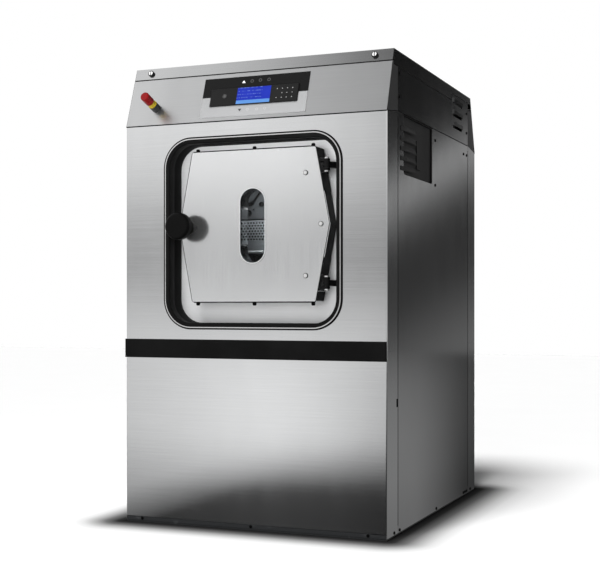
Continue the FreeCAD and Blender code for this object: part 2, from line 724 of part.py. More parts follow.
def water_inlets():
    # A recessed pan with three threaded nipples, on the left side
    y0 = FRONT + NOTCH_START
    y1 = FRONT + NOTCH_END
    outside = SHEET - HALF_WIDTH
    inside = outside + INLET_PAN_DEPTH
    top = SIDE_SEAM - SEAM
    pan = box(outside, inside, y0 - GRILLE_FLANGE, y1 + GRILLE_FLANGE, NOTCH_LOW - GRILLE_FLANGE, top)
    pan = pan.cut(box(outside - PAST, inside - GRILLE_WALL, y0, y1, NOTCH_LOW, top - GRILLE_WALL))
    middle_y = (y0 + y1) / 2
    middle_z = (NOTCH_LOW + SIDE_SEAM) / 2
    plate = inside - GRILLE_WALL
    for number in range(INLET_COUNT):
        y = middle_y + (number - (INLET_COUNT - 1) / 2) * INLET_PITCH
        seat = Vector(plate, y, middle_z)
        nut = rod(seat, -ALONG_X, INLET_NUT, INLET_NUT_THICK)
        nipple = rod(seat, -ALONG_X, INLET_RADIUS, INLET_NUT_THICK + INLET_LENGTH)
        valve = rod(Vector(inside, y, middle_z), ALONG_X, INLET_NUT, 2 * INLET_LENGTH)
        pan = pan.fuse([nut, nipple, valve])
    return pan.removeSplitter()


def bumper_strip():
    strip = box(-HALF_WIDTH, HALF_WIDTH, FRONT - BUMPER_DEPTH, FRONT, BUMPER_LOW, BUMPER_HIGH)
    outer = [e for e in strip.Edges if e.CenterOfMass.y < FRONT - BUMPER_DEPTH / 2 - PAST]
    return strip.makeFillet(BUMPER_ROUND, outer)


def screw(place, axis):
    head = rod(place, axis, SCREW_RADIUS, SCREW_HEAD)
    crown = [e for e in head.Edges if (e.CenterOfMass - place).dot(axis) > SCREW_HEAD / 2 and e.Closed]
    head = head.makeChamfer(SCREW_HEAD / 2, crown)
    return merge(head, rod(place, -axis, SCREW_SHANK, SHEET))


def panel_screws():
    screws = []
    for y, z in lower_side_screws() + upper_side_screws():
        screws.append(screw(Vector(HALF_WIDTH, y, z), ALONG_X))
        screws.append(screw(Vector(-HALF_WIDTH, y, z), -ALONG_X))
    return_y = FRONT + RETURN_DEPTH * 2 / 3
    for y in (return_y, -return_y):
        screws.append(screw(Vector(HALF_WIDTH, y, SCREW_FOOT_Z), ALONG_X))
        screws.append(screw(Vector(-HALF_WIDTH, y, SCREW_FOOT_Z), -ALONG_X))
    for x in (-PLINTH_SCREW_X, 0, PLINTH_SCREW_X):
        front = screw(Vector(x, RAIL_END - SHEET, SCREW_FOOT_Z), -ALONG_Y)
        screws.extend([front, at_rear(front)])
    return Part.makeCompound(screws)


# Lid and its locks

def side_lip():
    strip_low = CABINET_HEIGHT - LID_STRIP
    top = CABINET_HEIGHT - SHEET
    front = slope_y(strip_low) + LID_LIP_INSET
    step = FRONT + LID_LIP_STEP
    low = CABINET_HEIGHT - LID_LIP
    short = CABINET_HEIGHT - LID_LIP_SHORT
    outline = [(slope_y(strip_low), strip_low), (slope_y(top), top), (-slope_y(top), top)]
    outline = outline + [(-slope_y(short), short), (step, short), (step, low), (front, low), (front, strip_low)]
    return prism_along_x(outline, HALF_WIDTH - SHEET, HALF_WIDTH)


def lid_strip():
    low = CABINET_HEIGHT - LID_STRIP
    high = CABINET_HEIGHT
    skin = [(slope_y(low), low), (slope_y(high), high)]
    skin = skin + [(slope_y(high) + SLOPE_SHEET, high), (slope_y(low) + SLOPE_SHEET, low)]
    return prism_along_x(skin, -HALF_WIDTH, HALF_WIDTH)


def lock_places():
    return {"left": -LOCK_X, "right": LOCK_X}


def top_lid():
    low = CABINET_HEIGHT - SHEET
    skin = [(slope_y(low), low), (slope_y(CABINET_HEIGHT), CABINET_HEIGHT)]
    skin = skin + [(-slope_y(CABINET_HEIGHT), CABINET_HEIGHT), (-slope_y(low), low)]
    plate = prism_along_x(skin, -HALF_WIDTH, HALF_WIDTH)
    lid = merge(plate, lid_strip(), at_rear(lid_strip()), side_lip(), at_left(side_lip()))
    for x in lock_places().values():
        hole = rod(Vector(x, LOCK_UP, -5 * SHEET), ALONG_Z, LOCK_BARREL + LOCK_PLAY, 10 * SHEET)
        lid = lid.cut(on_slope(hole))
    return lid


def lid_lock(side):
    x = lock_places()[side]
    foot = Vector(x, LOCK_UP, LOCK_SEAT_GAP)
    head = rod(foot, ALONG_Z, LOCK_HEAD, LOCK_HEAD_TALL)
    rim = [e for e in head.Edges if e.Closed and e.CenterOfMass.z > LOCK_HEAD_TALL / 2]
    head = head.makeFillet(LOCK_HEAD_TALL / 3, rim)
    slot_half = LOCK_SLOT_WIDTH / 2
    top = LOCK_SEAT_GAP + LOCK_HEAD_TALL
    head = head.cut(box(x - slot_half, x + slot_half, LOCK_UP - LOCK_BARREL, LOCK_UP + LOCK_BARREL,
                        top - LOCK_SLOT_DEPTH, top + PAST))
    barrel = rod(foot, -ALONG_Z, LOCK_BARREL, LOCK_BARREL_LENGTH)
    low = LOCK_SEAT_GAP - LOCK_BARREL_LENGTH
    cam_half = LOCK_CAM_WIDTH / 2
    cam = box(x - cam_half, x + cam_half, LOCK_UP - LOCK_CAM, LOCK_UP + cam_half, low - LOCK_CAM_THICK, low)
    return on_slope(merge(head, barrel, cam))


# Bellows and trim round the door opening

def bellows():
    lip_out = OPENING_HALF + BELLOWS_LIP
    wall_out = OPENING_HALF + BELLOWS_WALL
    lip_y = FRONT - BELLOWS_LIP_THICK
    lip = rounded_ring(lip_out, OPENING_HALF, OPENING_RADIUS, lip_y, FRONT)
    groove_out = lip_out - TRIM_INSET
    groove = rounded_ring(groove_out, groove_out - TRIM_WIDTH, OPENING_RADIUS, lip_y - PAST, lip_y + TRIM_SEAT)
    wall = rounded_ring(wall_out, OPENING_HALF, OPENING_RADIUS, FRONT - BELLOWS_LIP_THICK, PLATE_Y)
    foot_out = OPENING_HALF + BELLOWS_FOOT
    foot = rounded_ring(foot_out, OPENING_HALF, OPENING_RADIUS, PLATE_Y - BELLOWS_FOOT_THICK, PLATE_Y)
    middle = (FRONT + PLATE_Y) / 2
    rib = rounded_ring(foot_out, OPENING_HALF, OPENING_RADIUS, middle - BELLOWS_RIB / 2, middle + BELLOWS_RIB / 2)
    return merge(lip.cut(groove), wall, foot, rib)


def opening_trim():
    out = OPENING_HALF + BELLOWS_LIP - TRIM_INSET
    lip_y = FRONT - BELLOWS_LIP_THICK
    return rounded_ring(out, out - TRIM_WIDTH, OPENING_RADIUS, lip_y - TRIM_PROUD, lip_y + TRIM_SEAT)


def door_bellows():
    return Part.makeCompound([bellows(), at_rear(bellows())])


def opening_trims():
    return Part.makeCompound([opening_trim(), at_rear(opening_trim())])


# Controls

def keypad_overlay():
    half = OVERLAY_WIDTH / 2
    sheet = box(-half, half, OVERLAY_LOW, OVERLAY_HIGH, 0, OVERLAY_THICK)
    window = box(-BEZEL_WIDTH / 2, BEZEL_WIDTH / 2, BEZEL_LOW, BEZEL_HIGH, -PAST, OVERLAY_THICK + PAST)
    return on_slope(sheet.cut(window))


def display_bezel():
    half = BEZEL_WIDTH / 2
    plate = box(-half, half, BEZEL_LOW, BEZEL_HIGH, 0, BEZEL_THICK)
    rim = [e for e in plate.Edges if e.CenterOfMass.z > BEZEL_THICK - PAST]
    plate = plate.makeChamfer(BEZEL_ROUND, rim)
    plate = round_edges(plate, ALONG_Z, BEZEL_ROUND)
    screen_half = SCREEN_WIDTH / 2
    screen_foot = BEZEL_THICK - SCREEN_THICK
    screen = box(-screen_half, screen_half, SCREEN_LOW, SCREEN_HIGH, screen_foot, BEZEL_THICK + PAST)
    return on_slope(plate.cut(screen))


def display_screen():
    half = SCREEN_WIDTH / 2
    return on_slope(box(-half, half, SCREEN_LOW, SCREEN_HIGH, BEZEL_THICK - SCREEN_THICK, BEZEL_THICK))


def control_box():
    half = CONTROL_BOX_WIDTH / 2
    deep = -SHEET - CONTROL_BOX_DEPTH
    case = box(-half, half, CONTROL_BOX_LOW, CONTROL_BOX_HIGH, deep, -SHEET)
    room = box(SHEET - half, half - SHEET, CONTROL_BOX_LOW + SHEET, CONTROL_BOX_HIGH - SHEET, deep + SHEET, 0)
    return on_slope(case.cut(room))


def estop_collar():
    # The dark base stands on the panel, its barrel goes through, and the yellow ring stands on the base
    foot = Vector(ESTOP_X, ESTOP_UP, 0)
    base = rod(foot, ALONG_Z, ESTOP_RADIUS, ESTOP_BASE)
    barrel = rod(foot, -ALONG_Z, ESTOP_BARREL, ESTOP_BARREL_LENGTH)
    bore_foot = foot - ALONG_Z * ESTOP_BARREL_LENGTH
    bore = rod(bore_foot, ALONG_Z, ESTOP_STEM + ESTOP_PLAY, ESTOP_BARREL_LENGTH + ESTOP_BASE)
    ring_foot = foot + ALONG_Z * ESTOP_BASE
    ring = pipe(ring_foot, ALONG_Z, ESTOP_RING_RADIUS, ESTOP_STEM + ESTOP_PLAY, ESTOP_RING_SHOWN + ESTOP_SKIRT)
    return [on_slope(merge(base, barrel).cut(bore)), on_slope(ring)]


def estop_collars():
    front = estop_collar()
    return Part.makeCompound(front + [at_rear(piece) for piece in front])


def estop_button():
    foot = Vector(ESTOP_X, ESTOP_UP, ESTOP_BASE + ESTOP_RING_SHOWN)
    head = rod(foot, ALONG_Z, ESTOP_RADIUS, ESTOP_HEAD)
    top = [e for e in head.Edges if e.Closed and e.CenterOfMass.z > foot.z + ESTOP_HEAD / 2]
    head = head.makeFillet(ESTOP_ROUND, top)
    skirt = rod(foot, ALONG_Z, ESTOP_RING_RADIUS + ESTOP_SKIRT_PLAY, ESTOP_HEAD - ESTOP_CAP)
    stem_low = foot - ALONG_Z * (ESTOP_BASE + ESTOP_RING_SHOWN)
    stem = rod(stem_low, ALONG_Z, ESTOP_STEM, ESTOP_BASE + ESTOP_RING_SHOWN + ESTOP_HEAD - ESTOP_CAP)
    return on_slope(merge(head.cut(skirt), stem))


# Tub door

def hexagon(inset):
    # The door's outline, drawn in by a distance square to each edge
    high = DOOR_HEIGHT / 2 - inset
    rise = DOOR_HEIGHT / 2
    run = (DOOR_MID_WIDTH - DOOR_EDGE_WIDTH) / 2
    flank = math.hypot(rise, run)
    middle = DOOR_MID_WIDTH / 2 - inset * flank / rise
    edge = middle - run * high / rise
    return [(-edge, AXIS_Z + high), (edge, AXIS_Z + high), (middle, AXIS_Z), (edge, AXIS_Z - high),
            (-edge, AXIS_Z - high), (-middle, AXIS_Z)]


def spindle_hole(y0, y1):
    return rod(Vector(KNOB_X, y0, AXIS_Z), ALONG_Y, SPINDLE_RADIUS + SPINDLE_PLAY, y1 - y0)


def door_screw_places():
    corners = [(DOOR_SCREW_X, AXIS_Z + DOOR_SCREW_RISE), (DOOR_SCREW_X, AXIS_Z - DOOR_SCREW_RISE)]
    return corners + [(DOOR_MID_SCREW_X, AXIS_Z)]


def door_skin():
    outside = prism_along_y(hexagon(0), DOOR_FACE, DOOR_REAR)
    face_edges = [e for e in outside.Edges if e.CenterOfMass.y < DOOR_FACE + PAST]
    corner_edges = [e for e in outside.Edges if runs_along(e, ALONG_Y)]
    outside = outside.makeFillet(DOOR_ROUND, face_edges + corner_edges)
    inside = prism_along_y(hexagon(DOOR_SHEET), DOOR_FACE + DOOR_SHEET, DOOR_REAR + PAST)
    rim_width = WINDOW_WIDTH + 2 * WINDOW_RIM
    rim_height = WINDOW_HEIGHT + 2 * WINDOW_RIM
    rim = stadium(rim_width, rim_height, DOOR_FACE - WINDOW_RIM_PROUD, DOOR_FACE)
    window = stadium(WINDOW_WIDTH, WINDOW_HEIGHT, DOOR_FACE - 2 * WINDOW_RIM_PROUD, DOOR_FACE + 2 * DOOR_SHEET)
    pan = outside.cut(inside).fuse(rim).cut(window).cut(spindle_hole(DOOR_FACE - PAST, DOOR_FACE + 2 * DOOR_SHEET))
    for x, z in door_screw_places():
        hole = rod(Vector(x, DOOR_FACE - PAST, z), ALONG_Y, SCREW_SHANK + SCREW_PLAY, 3 * DOOR_SHEET)
        pan = pan.cut(hole)
    return pan.removeSplitter()


def door_liner():
    # The inner wall, with a well that carries the glass and a hole for the latch stud
    plate = prism_along_y(hexagon(DOOR_SHEET + LINER_GAP), LINER_FRONT, LINER_REAR)
    glass_rear = DOOR_FACE + DOOR_SHEET + GLASS_THICK
    well_width = WINDOW_WIDTH + 2 * WELL_WALL
    well_height = WINDOW_HEIGHT + 2 * WELL_WALL
    well = stadium(well_width, well_height, glass_rear, LINER_REAR)
    sight = stadium(WINDOW_WIDTH, WINDOW_HEIGHT, glass_rear - PAST, LINER_REAR + PAST)
    hole = rod(Vector(KNOB_X, LINER_FRONT - PAST, AXIS_Z + STUD_RISE), ALONG_Y, STUD_HEAD + STUD_HOLE_ROOM,
               LINER_THICK + 2 * PAST)
    return plate.fuse(well).cut(sight).cut(hole).removeSplitter()


def door_glass():
    width = WINDOW_WIDTH + 2 * GLASS_LAND
    height = WINDOW_HEIGHT + 2 * GLASS_LAND
    return stadium(width, height, DOOR_FACE + DOOR_SHEET, DOOR_FACE + DOOR_SHEET + GLASS_THICK)


def seal_block(grow, y0, y1):
    half_x = THROAT_WIDTH / 2 + SEAL_LAND + grow
    half_z = THROAT_HEIGHT / 2 + SEAL_LAND + grow
    block = box(-half_x, half_x, y0, y1, AXIS_Z - half_z, AXIS_Z + half_z)
    return round_edges(block, ALONG_Y, SEAL_RADIUS + grow)


def door_seal():
    outside = seal_block(SEAL_WIDTH, LINER_REAR, LINER_REAR + SEAL_THICK)
    return outside.cut(seal_block(0, LINER_REAR - PAST, LINER_REAR + SEAL_THICK + PAST))


def hinge_heights():
    return (AXIS_Z + HINGE_RISE, AXIS_Z - HINGE_RISE)


def hinge_leaf(z):
    # Two ears round the pin, on a plate that follows the door's slanting flank
    ear_low = HINGE_ARM_TALL / 2 + HINGE_GAP
    flank = prism_along_y(hexagon(-LEAF_THICK), DOOR_FACE + LEAF_INSET, DOOR_REAR - LEAF_INSET)
    slab = box(0, HALF_WIDTH, FRONT, PLATE_Y, z - LEAF_TALL / 2, z + LEAF_TALL / 2)
    leaf = flank.common(slab)
    for low in (z + ear_low, z - ear_low - HINGE_EAR_TALL):
        eye = rod(Vector(HINGE_X, HINGE_Y, low), ALONG_Z, HINGE_EYE, HINGE_EAR_TALL)
        bar = box(0, HINGE_X, HINGE_Y - HINGE_EYE, HINGE_Y + HINGE_EYE, low, low + HINGE_EAR_TALL)
        leaf = leaf.fuse([eye, bar])
    bore = rod(Vector(HINGE_X, HINGE_Y, z - LEAF_TALL), ALONG_Z, HINGE_PIN + HINGE_PLAY, 2 * LEAF_TALL)
    door = prism_along_y(hexagon(0), DOOR_FACE - PAST, DOOR_REAR + PAST)
    return leaf.cut(bore).cut(door).removeSplitter()


def leaf_bolt(z):
    # A bolt head on the hinge leaf, square to the slanting flank
    side = 1 if z > AXIS_Z else -1
    lean = math.atan2(DOOR_MID_WIDTH - DOOR_EDGE_WIDTH, DOOR_HEIGHT)
    out = Vector(math.cos(lean), 0, side * math.sin(lean))
    half_width = DOOR_MID_WIDTH / 2 - abs(z - AXIS_Z) * math.tan(lean)
    seat = Vector(half_width, DOOR_REAR - LEAF_BOLT_INSET, z) + out * LEAF_THICK
    return rod(seat, out, LEAF_BOLT_RADIUS, LEAF_BOLT_TALL)


def dome_screw(x, z):
    place = Vector(x, DOOR_FACE, z)
    head = rod(place, -ALONG_Y, DOOR_SCREW_RADIUS, DOOR_SCREW_TALL)
    crown = [e for e in head.Edges if e.Closed and e.CenterOfMass.y < DOOR_FACE - DOOR_SCREW_TALL / 2]
    head = head.makeFillet(DOOR_SCREW_TALL * 3 / 4, crown)
    return merge(head, rod(place, ALONG_Y, SCREW_SHANK, 2 * DOOR_SHEET))


def door_hinge_leaves():
    pieces = []
    for z in hinge_heights():
        pieces.append(hinge_leaf(z))
        pieces.append(leaf_bolt(z - LEAF_BOLT_SPREAD))
        pieces.append(leaf_bolt(z + LEAF_BOLT_SPREAD))
    for x, z in door_screw_places():
        pieces.append(dome_screw(x, z))
    return Part.makeCompound(pieces)


def door_knob():
    # A round knob on a tapering neck, the latch spindle in its socket, and the cam on the spindle's end
    tip = FRONT - KNOB_REACH
    back = tip + KNOB_THICK
    crown = KNOB_RADIUS - KNOB_CROWN * 2
    profile = [Vector(0, tip, 0), Vector(crown, tip, 0), Vector(KNOB_RADIUS, tip + KNOB_CROWN * 2, 0)]
    profile = profile + [Vector(KNOB_RADIUS, back - KNOB_CROWN, 0), Vector(KNOB_RADIUS - KNOB_CROWN, back, 0)]
    foot = DOOR_FACE - KNOB_FACE_GAP
    profile = profile + [Vector(KNOB_NECK, back + KNOB_CROWN, 0), Vector(KNOB_FOOT, foot, 0), Vector(0, foot, 0)]
    lines = Part.makePolygon(profile[:2]).Edges
    bulge = Vector(KNOB_RADIUS - KNOB_CROWN / 2, tip + KNOB_CROWN / 2, 0)
    lines = lines + [Part.Arc(profile[1], bulge, profile[2]).toShape()]
    lines = lines + Part.makePolygon(profile[2:] + profile[:1]).Edges
    knob = Part.Face(Part.Wire(lines)).revolve(CENTRE, ALONG_Y, 360)
    seat = Vector(0, foot - SPINDLE_SEAT, 0)
    length = CAM_REAR - seat.y
    spindle = rod(seat, ALONG_Y, SPINDLE_RADIUS, length)
    bore = rod(seat, ALONG_Y, SPINDLE_RADIUS + SPINDLE_PLAY, length + PAST)
    cam = box(0, CAM_LENGTH, CAM_FRONT, CAM_REAR, -CAM_WIDTH / 2, CAM_WIDTH / 2)
    cam.rotate(CENTRE, -ALONG_Y, CAM_REST_ANGLE)
    boss = rod(Vector(0, CAM_FRONT, 0), ALONG_Y, CAM_BOSS, CAM_THICK)
    whole = Part.makeCompound([knob.cut(bore), spindle, merge(cam, boss).cut(bore)])
    whole.translate(Vector(KNOB_X, 0, AXIS_Z))
    return whole


# Tub

def tub_shell():
    throat = PLATE_Y + PLATE_THICK
    half_x = THROAT_WIDTH / 2
    half_z = THROAT_HEIGHT / 2
    outer_x = half_x + TUB_WALL
    outer_z = half_z + TUB_WALL
    barrel = rod(Vector(-TUB_HALF, 0, AXIS_Z), ALONG_X, TUB_OUTER, TUB_LENGTH)
    duct = box(-outer_x, outer_x, throat, -throat, AXIS_Z - outer_z, AXIS_Z + outer_z)
    room = rod(Vector(-TUB_HALF - PAST, 0, AXIS_Z), ALONG_X, TUB_RADIUS, TUB_LENGTH + 2 * PAST)
    way = box(-half_x, half_x, throat - PAST, PAST - throat, AXIS_Z - half_z, AXIS_Z + half_z)
    drain = rod(Vector(0, DRAIN_Y, AXIS_Z - TUB_OUTER - PAST), ALONG_Z, DRAIN_BORE, TUB_RADIUS)
    return barrel.fuse(duct).cut(room).cut(way).cut(drain).removeSplitter()


def tub_end():
    axis = Vector(TUB_HALF, 0, AXIS_Z)
    plate = rod(axis, ALONG_X, TUB_OUTER, TUB_END)
    housing = rod(Vector(HOUSING_START, 0, AXIS_Z), ALONG_X, HOUSING_RADIUS, HOUSING_LENGTH)
    ribs = []
    for number in range(END_RIB_COUNT):
        rib = box(HOUSING_START, HOUSING_START + END_RIB_TALL, -END_RIB_THICK / 2, END_RIB_THICK / 2,
                  AXIS_Z, AXIS_Z + END_RIB_REACH)
        rib.rotate(DRUM_CENTRE, ALONG_X, number * 360 / END_RIB_COUNT)
        ribs.append(rib)
    seat = rod(Vector(HOUSING_START, 0, AXIS_Z), ALONG_X, BEARING_RADIUS + BEARING_FIT, HOUSING_LENGTH + PAST)
    bore = rod(axis - ALONG_X, ALONG_X, SHAFT_RADIUS + SHAFT_SEAL_ROOM, HOUSING_LENGTH)
    return merge(plate, housing, *ribs).cut(seat).cut(bore)


def tub_end_plates():
    return Part.makeCompound([tub_end(), at_rear(tub_end())])


def bearing():
    start = Vector(HOUSING_END - BEARING_WIDTH, 0, AXIS_Z)
    return pipe(start, ALONG_X, BEARING_RADIUS, SHAFT_RADIUS + BEARING_FIT, BEARING_WIDTH)


def drum_bearings():
    return Part.makeCompound([bearing(), at_rear(bearing())])


def tub_door_plate():
    # The steel plate behind the bellows, with the throat opening, the latch stud and the nut on its end
    half = OPENING_HALF + BELLOWS_FOOT
    radius = OPENING_RADIUS + BELLOWS_FOOT
    plate = rounded_block(half, radius, OPENING_Z, PLATE_Y, PLATE_Y + PLATE_THICK)
    half_x = THROAT_WIDTH / 2
    half_z = THROAT_HEIGHT / 2
    back = PLATE_Y + 2 * PLATE_THICK
    plate = plate.cut(box(-half_x, half_x, PLATE_Y - PAST, back, AXIS_Z - half_z, AXIS_Z + half_z))
    head_front = STUD_HEAD_REAR - STUD_HEAD_THICK
    place = Vector(KNOB_X, head_front, AXIS_Z + STUD_RISE)
    stud = rod(place, ALONG_Y, STUD_NECK, PLATE_Y - head_front)
    nut = pipe(place, ALONG_Y, STUD_HEAD, STUD_NECK + STUD_PLAY, STUD_HEAD_THICK)
    return [plate, stud, nut]


def tub_door_plates():
    front = tub_door_plate()
    return Part.makeCompound(front + [at_rear(piece) for piece in front])


def hinge_bracket(z):
    # A foot on the tub plate, an arm reaching forward, and the hinge pin with its two heads
    towards_middle = -1 if z > AXIS_Z else 1
    far = z - towards_middle * HINGE_ARM_TALL / 2
    near = far + towards_middle * BRACKET_TALL
    half = BRACKET_WIDTH / 2
    foot = box(BRACKET_X - half, BRACKET_X + half, PLATE_Y - BRACKET_THICK, PLATE_Y, min(far, near), max(far, near))
    low = z - HINGE_ARM_TALL / 2
    start = Vector(HINGE_X, HINGE_Y, 0)
    end = Vector(BRACKET_X, PLATE_Y - BRACKET_THICK / 2, 0)
    along = end - start
    side = Vector(-along.y, along.x, 0).normalize() * (HINGE_ARM_WIDE / 2)
    corners = [start + side, end + side, end - side, start - side]
    arm = prism_along_z([(p.x, p.y) for p in corners], low, low + HINGE_ARM_TALL)
    arm = arm.common(box(0, HALF_WIDTH, FRONT, PLATE_Y, 0, CABINET_HEIGHT))
    eye = rod(Vector(HINGE_X, HINGE_Y, low), ALONG_Z, HINGE_EYE, HINGE_ARM_TALL)
    pin_half = HINGE_ARM_TALL / 2 + 2 * HINGE_GAP + HINGE_EAR_TALL
    pin = rod(Vector(HINGE_X, HINGE_Y, z - pin_half), ALONG_Z, HINGE_PIN, 2 * pin_half)
    heads = [rod(Vector(HINGE_X, HINGE_Y, z + pin_half), ALONG_Z, HINGE_HEAD_RADIUS, HINGE_HEAD_TALL),
             rod(Vector(HINGE_X, HINGE_Y, z - pin_half), -ALONG_Z, HINGE_HEAD_RADIUS, HINGE_HEAD_TALL)]
    return merge(foot, arm, eye, pin, *heads)


def hinge_brackets():
    front = [hinge_bracket(z) for z in hinge_heights()]
    return Part.makeCompound(front + [at_rear(piece) for piece in front])


# Drum and its flaps

def flap_hinge_angle():
    return FLAP_ANGLE + FLAP_HINGE_ANGLE


def flap_hinge_radius():
    return DRUM_INNER - FLAP_HINGE_IN


def drum_shell():
    tube = pipe(Vector(-DRUM_HALF, 0, AXIS_Z), ALONG_X, DRUM_RADIUS, DRUM_INNER, DRUM_LENGTH)
    half = FLAP_WIDTH / 2 + FLAP_EDGE_GAP
    tube = tube.cut(drum_arc(-half, half, DRUM_INNER - PAST, DRUM_RADIUS + PAST, -FLAP_ANGLE, FLAP_ANGLE))
    ear_start = FLAP_WIDTH / 2 + FLAP_EAR_GAP
    for side in (1, -1):
        angle = side * flap_hinge_angle()
        width = math.degrees(FLAP_KNUCKLE / DRUM_INNER)
        for x in (ear_start, -ear_start - FLAP_EAR):
            low = flap_hinge_radius() - FLAP_KNUCKLE
            high = DRUM_INNER + DRUM_WALL / 2
            tube = tube.fuse(drum_arc(x, x + FLAP_EAR, low, high, angle - width, angle + width))
        pin = rod(drum_point(-ear_start, flap_hinge_radius(), angle), ALONG_X, FLAP_PIN, 2 * ear_start)
        tube = tube.fuse(pin)
    return tube.removeSplitter()


def drum_flap(start, end, side):
    # A curved leaf with a knuckle along its hinge edge, just inside the drum wall
    half = FLAP_WIDTH / 2
    leaf = drum_arc(-half, half, DRUM_INNER, DRUM_RADIUS, start, end)
    angle = side * flap_hinge_angle()
    radius = flap_hinge_radius()
    centre = drum_point(-half, radius, angle)
    knuckle = rod(centre, ALONG_X, FLAP_KNUCKLE, FLAP_WIDTH)
    edge = end if side > 0 else start
    root = edge - side * math.degrees(FLAP_WEB / DRUM_INNER)
    low = radius - FLAP_WEB / 2
    riser = drum_arc(-half, half, low, DRUM_INNER + DRUM_WALL / 2, min(root, edge), max(root, edge))
    web = drum_arc(-half, half, low, low + FLAP_WEB, min(root, angle), max(root, angle))
    bore = rod(centre - ALONG_X, ALONG_X, FLAP_PIN + FLAP_PLAY, FLAP_WIDTH + 2)
    return merge(leaf, knuckle, riser, web).cut(bore)


def flap_gap_angle():
    return math.degrees(FLAP_GAP / 2 / DRUM_RADIUS)


def flap_edge_angle():
    return FLAP_ANGLE - math.degrees(FLAP_EDGE_GAP / DRUM_RADIUS)


def upper_drum_flap():
    return drum_flap(FLAP_SPLIT + flap_gap_angle(), flap_edge_angle(), 1)


def lower_drum_flap():
    return drum_flap(-flap_edge_angle(), FLAP_SPLIT - flap_gap_angle(), -1)


def drum_head(shaft_end):
    head = rod(Vector(DRUM_HALF, 0, AXIS_Z), ALONG_X, DRUM_RADIUS, DRUM_HEAD)
    start = DRUM_HALF + DRUM_HEAD
    hub = Part.makeCone(DRUM_HUB_RADIUS, DRUM_HUB_RADIUS / 2, DRUM_HUB_THICK, Vector(start, 0, AXIS_Z), ALONG_X)
    shaft = rod(Vector(start, 0, AXIS_Z), ALONG_X, SHAFT_RADIUS, shaft_end - start)
    return merge(head, hub, shaft)


def drum_heads():
    return Part.makeCompound([drum_head(HOUSING_END), at_rear(drum_head(-PULLEY_LEFT))])


def lifter_prism(inset):
    half = DRUM_HALF - LIFTER_END_GAP - inset
    crest = DRUM_INNER - LIFTER_HEIGHT + inset
    crest_half = LIFTER_CREST / 2 - inset
    base_half = LIFTER_BASE / 2 - inset
    outline = [(-crest, crest_half), (-DRUM_RADIUS, base_half), (-DRUM_RADIUS, -base_half), (-crest, -crest_half)]
    return prism_along_x([(y, AXIS_Z + z) for y, z in outline], -half, half)


def drum_lifter(angle):
    # A folded, tapering beam along the drum, open towards the wall that it is welded to
    beam = lifter_prism(0).cut(lifter_prism(LIFTER_WALL))
    beam = beam.common(rod(Vector(-DRUM_HALF, 0, AXIS_Z), ALONG_X, DRUM_INNER, DRUM_LENGTH))
    beam.rotate(DRUM_CENTRE, -ALONG_X, angle)
    return beam


def drum_lifters():
    return Part.makeCompound([drum_lifter(angle) for angle in LIFTER_ANGLES])


# Drive

def grooved_rim(radius, bore, y, z):
    # A rim with a flange along each side to keep the belt on
    rim = rod(Vector(PULLEY_LEFT, y, z), ALONG_X, radius, PULLEY_WIDTH)
    for x in (PULLEY_LEFT, PULLEY_RIGHT - PULLEY_FLANGE):
        rim = rim.fuse(rod(Vector(x, y, z), ALONG_X, radius + PULLEY_FLANGE_TALL, PULLEY_FLANGE))
    return rim.cut(rod(Vector(PULLEY_LEFT - PAST, y, z), ALONG_X, bore, PULLEY_WIDTH + 2 * PAST)).removeSplitter()


def drum_pulley():
    inner = DRUM_PULLEY_RADIUS - DRUM_PULLEY_RIM
    rim = grooved_rim(DRUM_PULLEY_RADIUS, inner, 0, AXIS_Z)
    middle = (PULLEY_LEFT + PULLEY_RIGHT) / 2
    web = rod(Vector(middle - DRUM_PULLEY_WEB / 2, 0, AXIS_Z), ALONG_X, inner, DRUM_PULLEY_WEB)
    between = (inner + DRUM_PULLEY_HUB) / 2
    for number in range(DRUM_PULLEY_HOLES):
        turn = 2 * math.pi * number / DRUM_PULLEY_HOLES
        place = Vector(PULLEY_LEFT, between * math.cos(turn), AXIS_Z + between * math.sin(turn))
        web = web.cut(rod(place, ALONG_X, DRUM_PULLEY_HOLE_RADIUS, PULLEY_WIDTH))
    hub = rod(Vector(PULLEY_LEFT, 0, AXIS_Z), ALONG_X, DRUM_PULLEY_HUB, PULLEY_WIDTH)
    bore = rod(Vector(PULLEY_LEFT - PAST, 0, AXIS_Z), ALONG_X, SHAFT_RADIUS + BEARING_FIT, PULLEY_WIDTH + 2 * PAST)
    return merge(rim, web, hub).cut(bore)


def belt_loop(grow, x0, x1):
    # The outline of a band stretched round the two pulleys
    big = DRUM_PULLEY_RADIUS + grow
    small = MOTOR_PULLEY_RADIUS + grow
    run = Vector(0, MOTOR_Y, MOTOR_Z - AXIS_Z)
    reach = run.Length
    along = run * (1 / reach)
    across = ALONG_X.cross(along)
    lean = math.asin((big - small) / reach)
    sides = [along * math.sin(lean) + across * (math.cos(lean) * side) for side in (1, -1)]
    start = Vector(x0, 0, AXIS_Z)
    end = Vector(x0, MOTOR_Y, MOTOR_Z)
    edges = [Part.Arc(start + sides[0] * big, start - along * big, start + sides[1] * big).toShape(),
             Part.makeLine(start + sides[1] * big, end + sides[1] * small),
             Part.Arc(end + sides[1] * small, end + along * small, end + sides[0] * small).toShape(),
             Part.makeLine(end + sides[0] * small, start + sides[0] * big)]
    return Part.Face(Part.Wire(edges)).extrude(Vector(x1 - x0, 0, 0))


def drive_belt():
    x0 = PULLEY_LEFT + PULLEY_FLANGE + BELT_SIDE_GAP
    x1 = PULLEY_RIGHT - PULLEY_FLANGE - BELT_SIDE_GAP
    return belt_loop(BELT_GAP + BELT_THICK, x0, x1).cut(belt_loop(BELT_GAP, x0 - PAST, x1 + PAST))


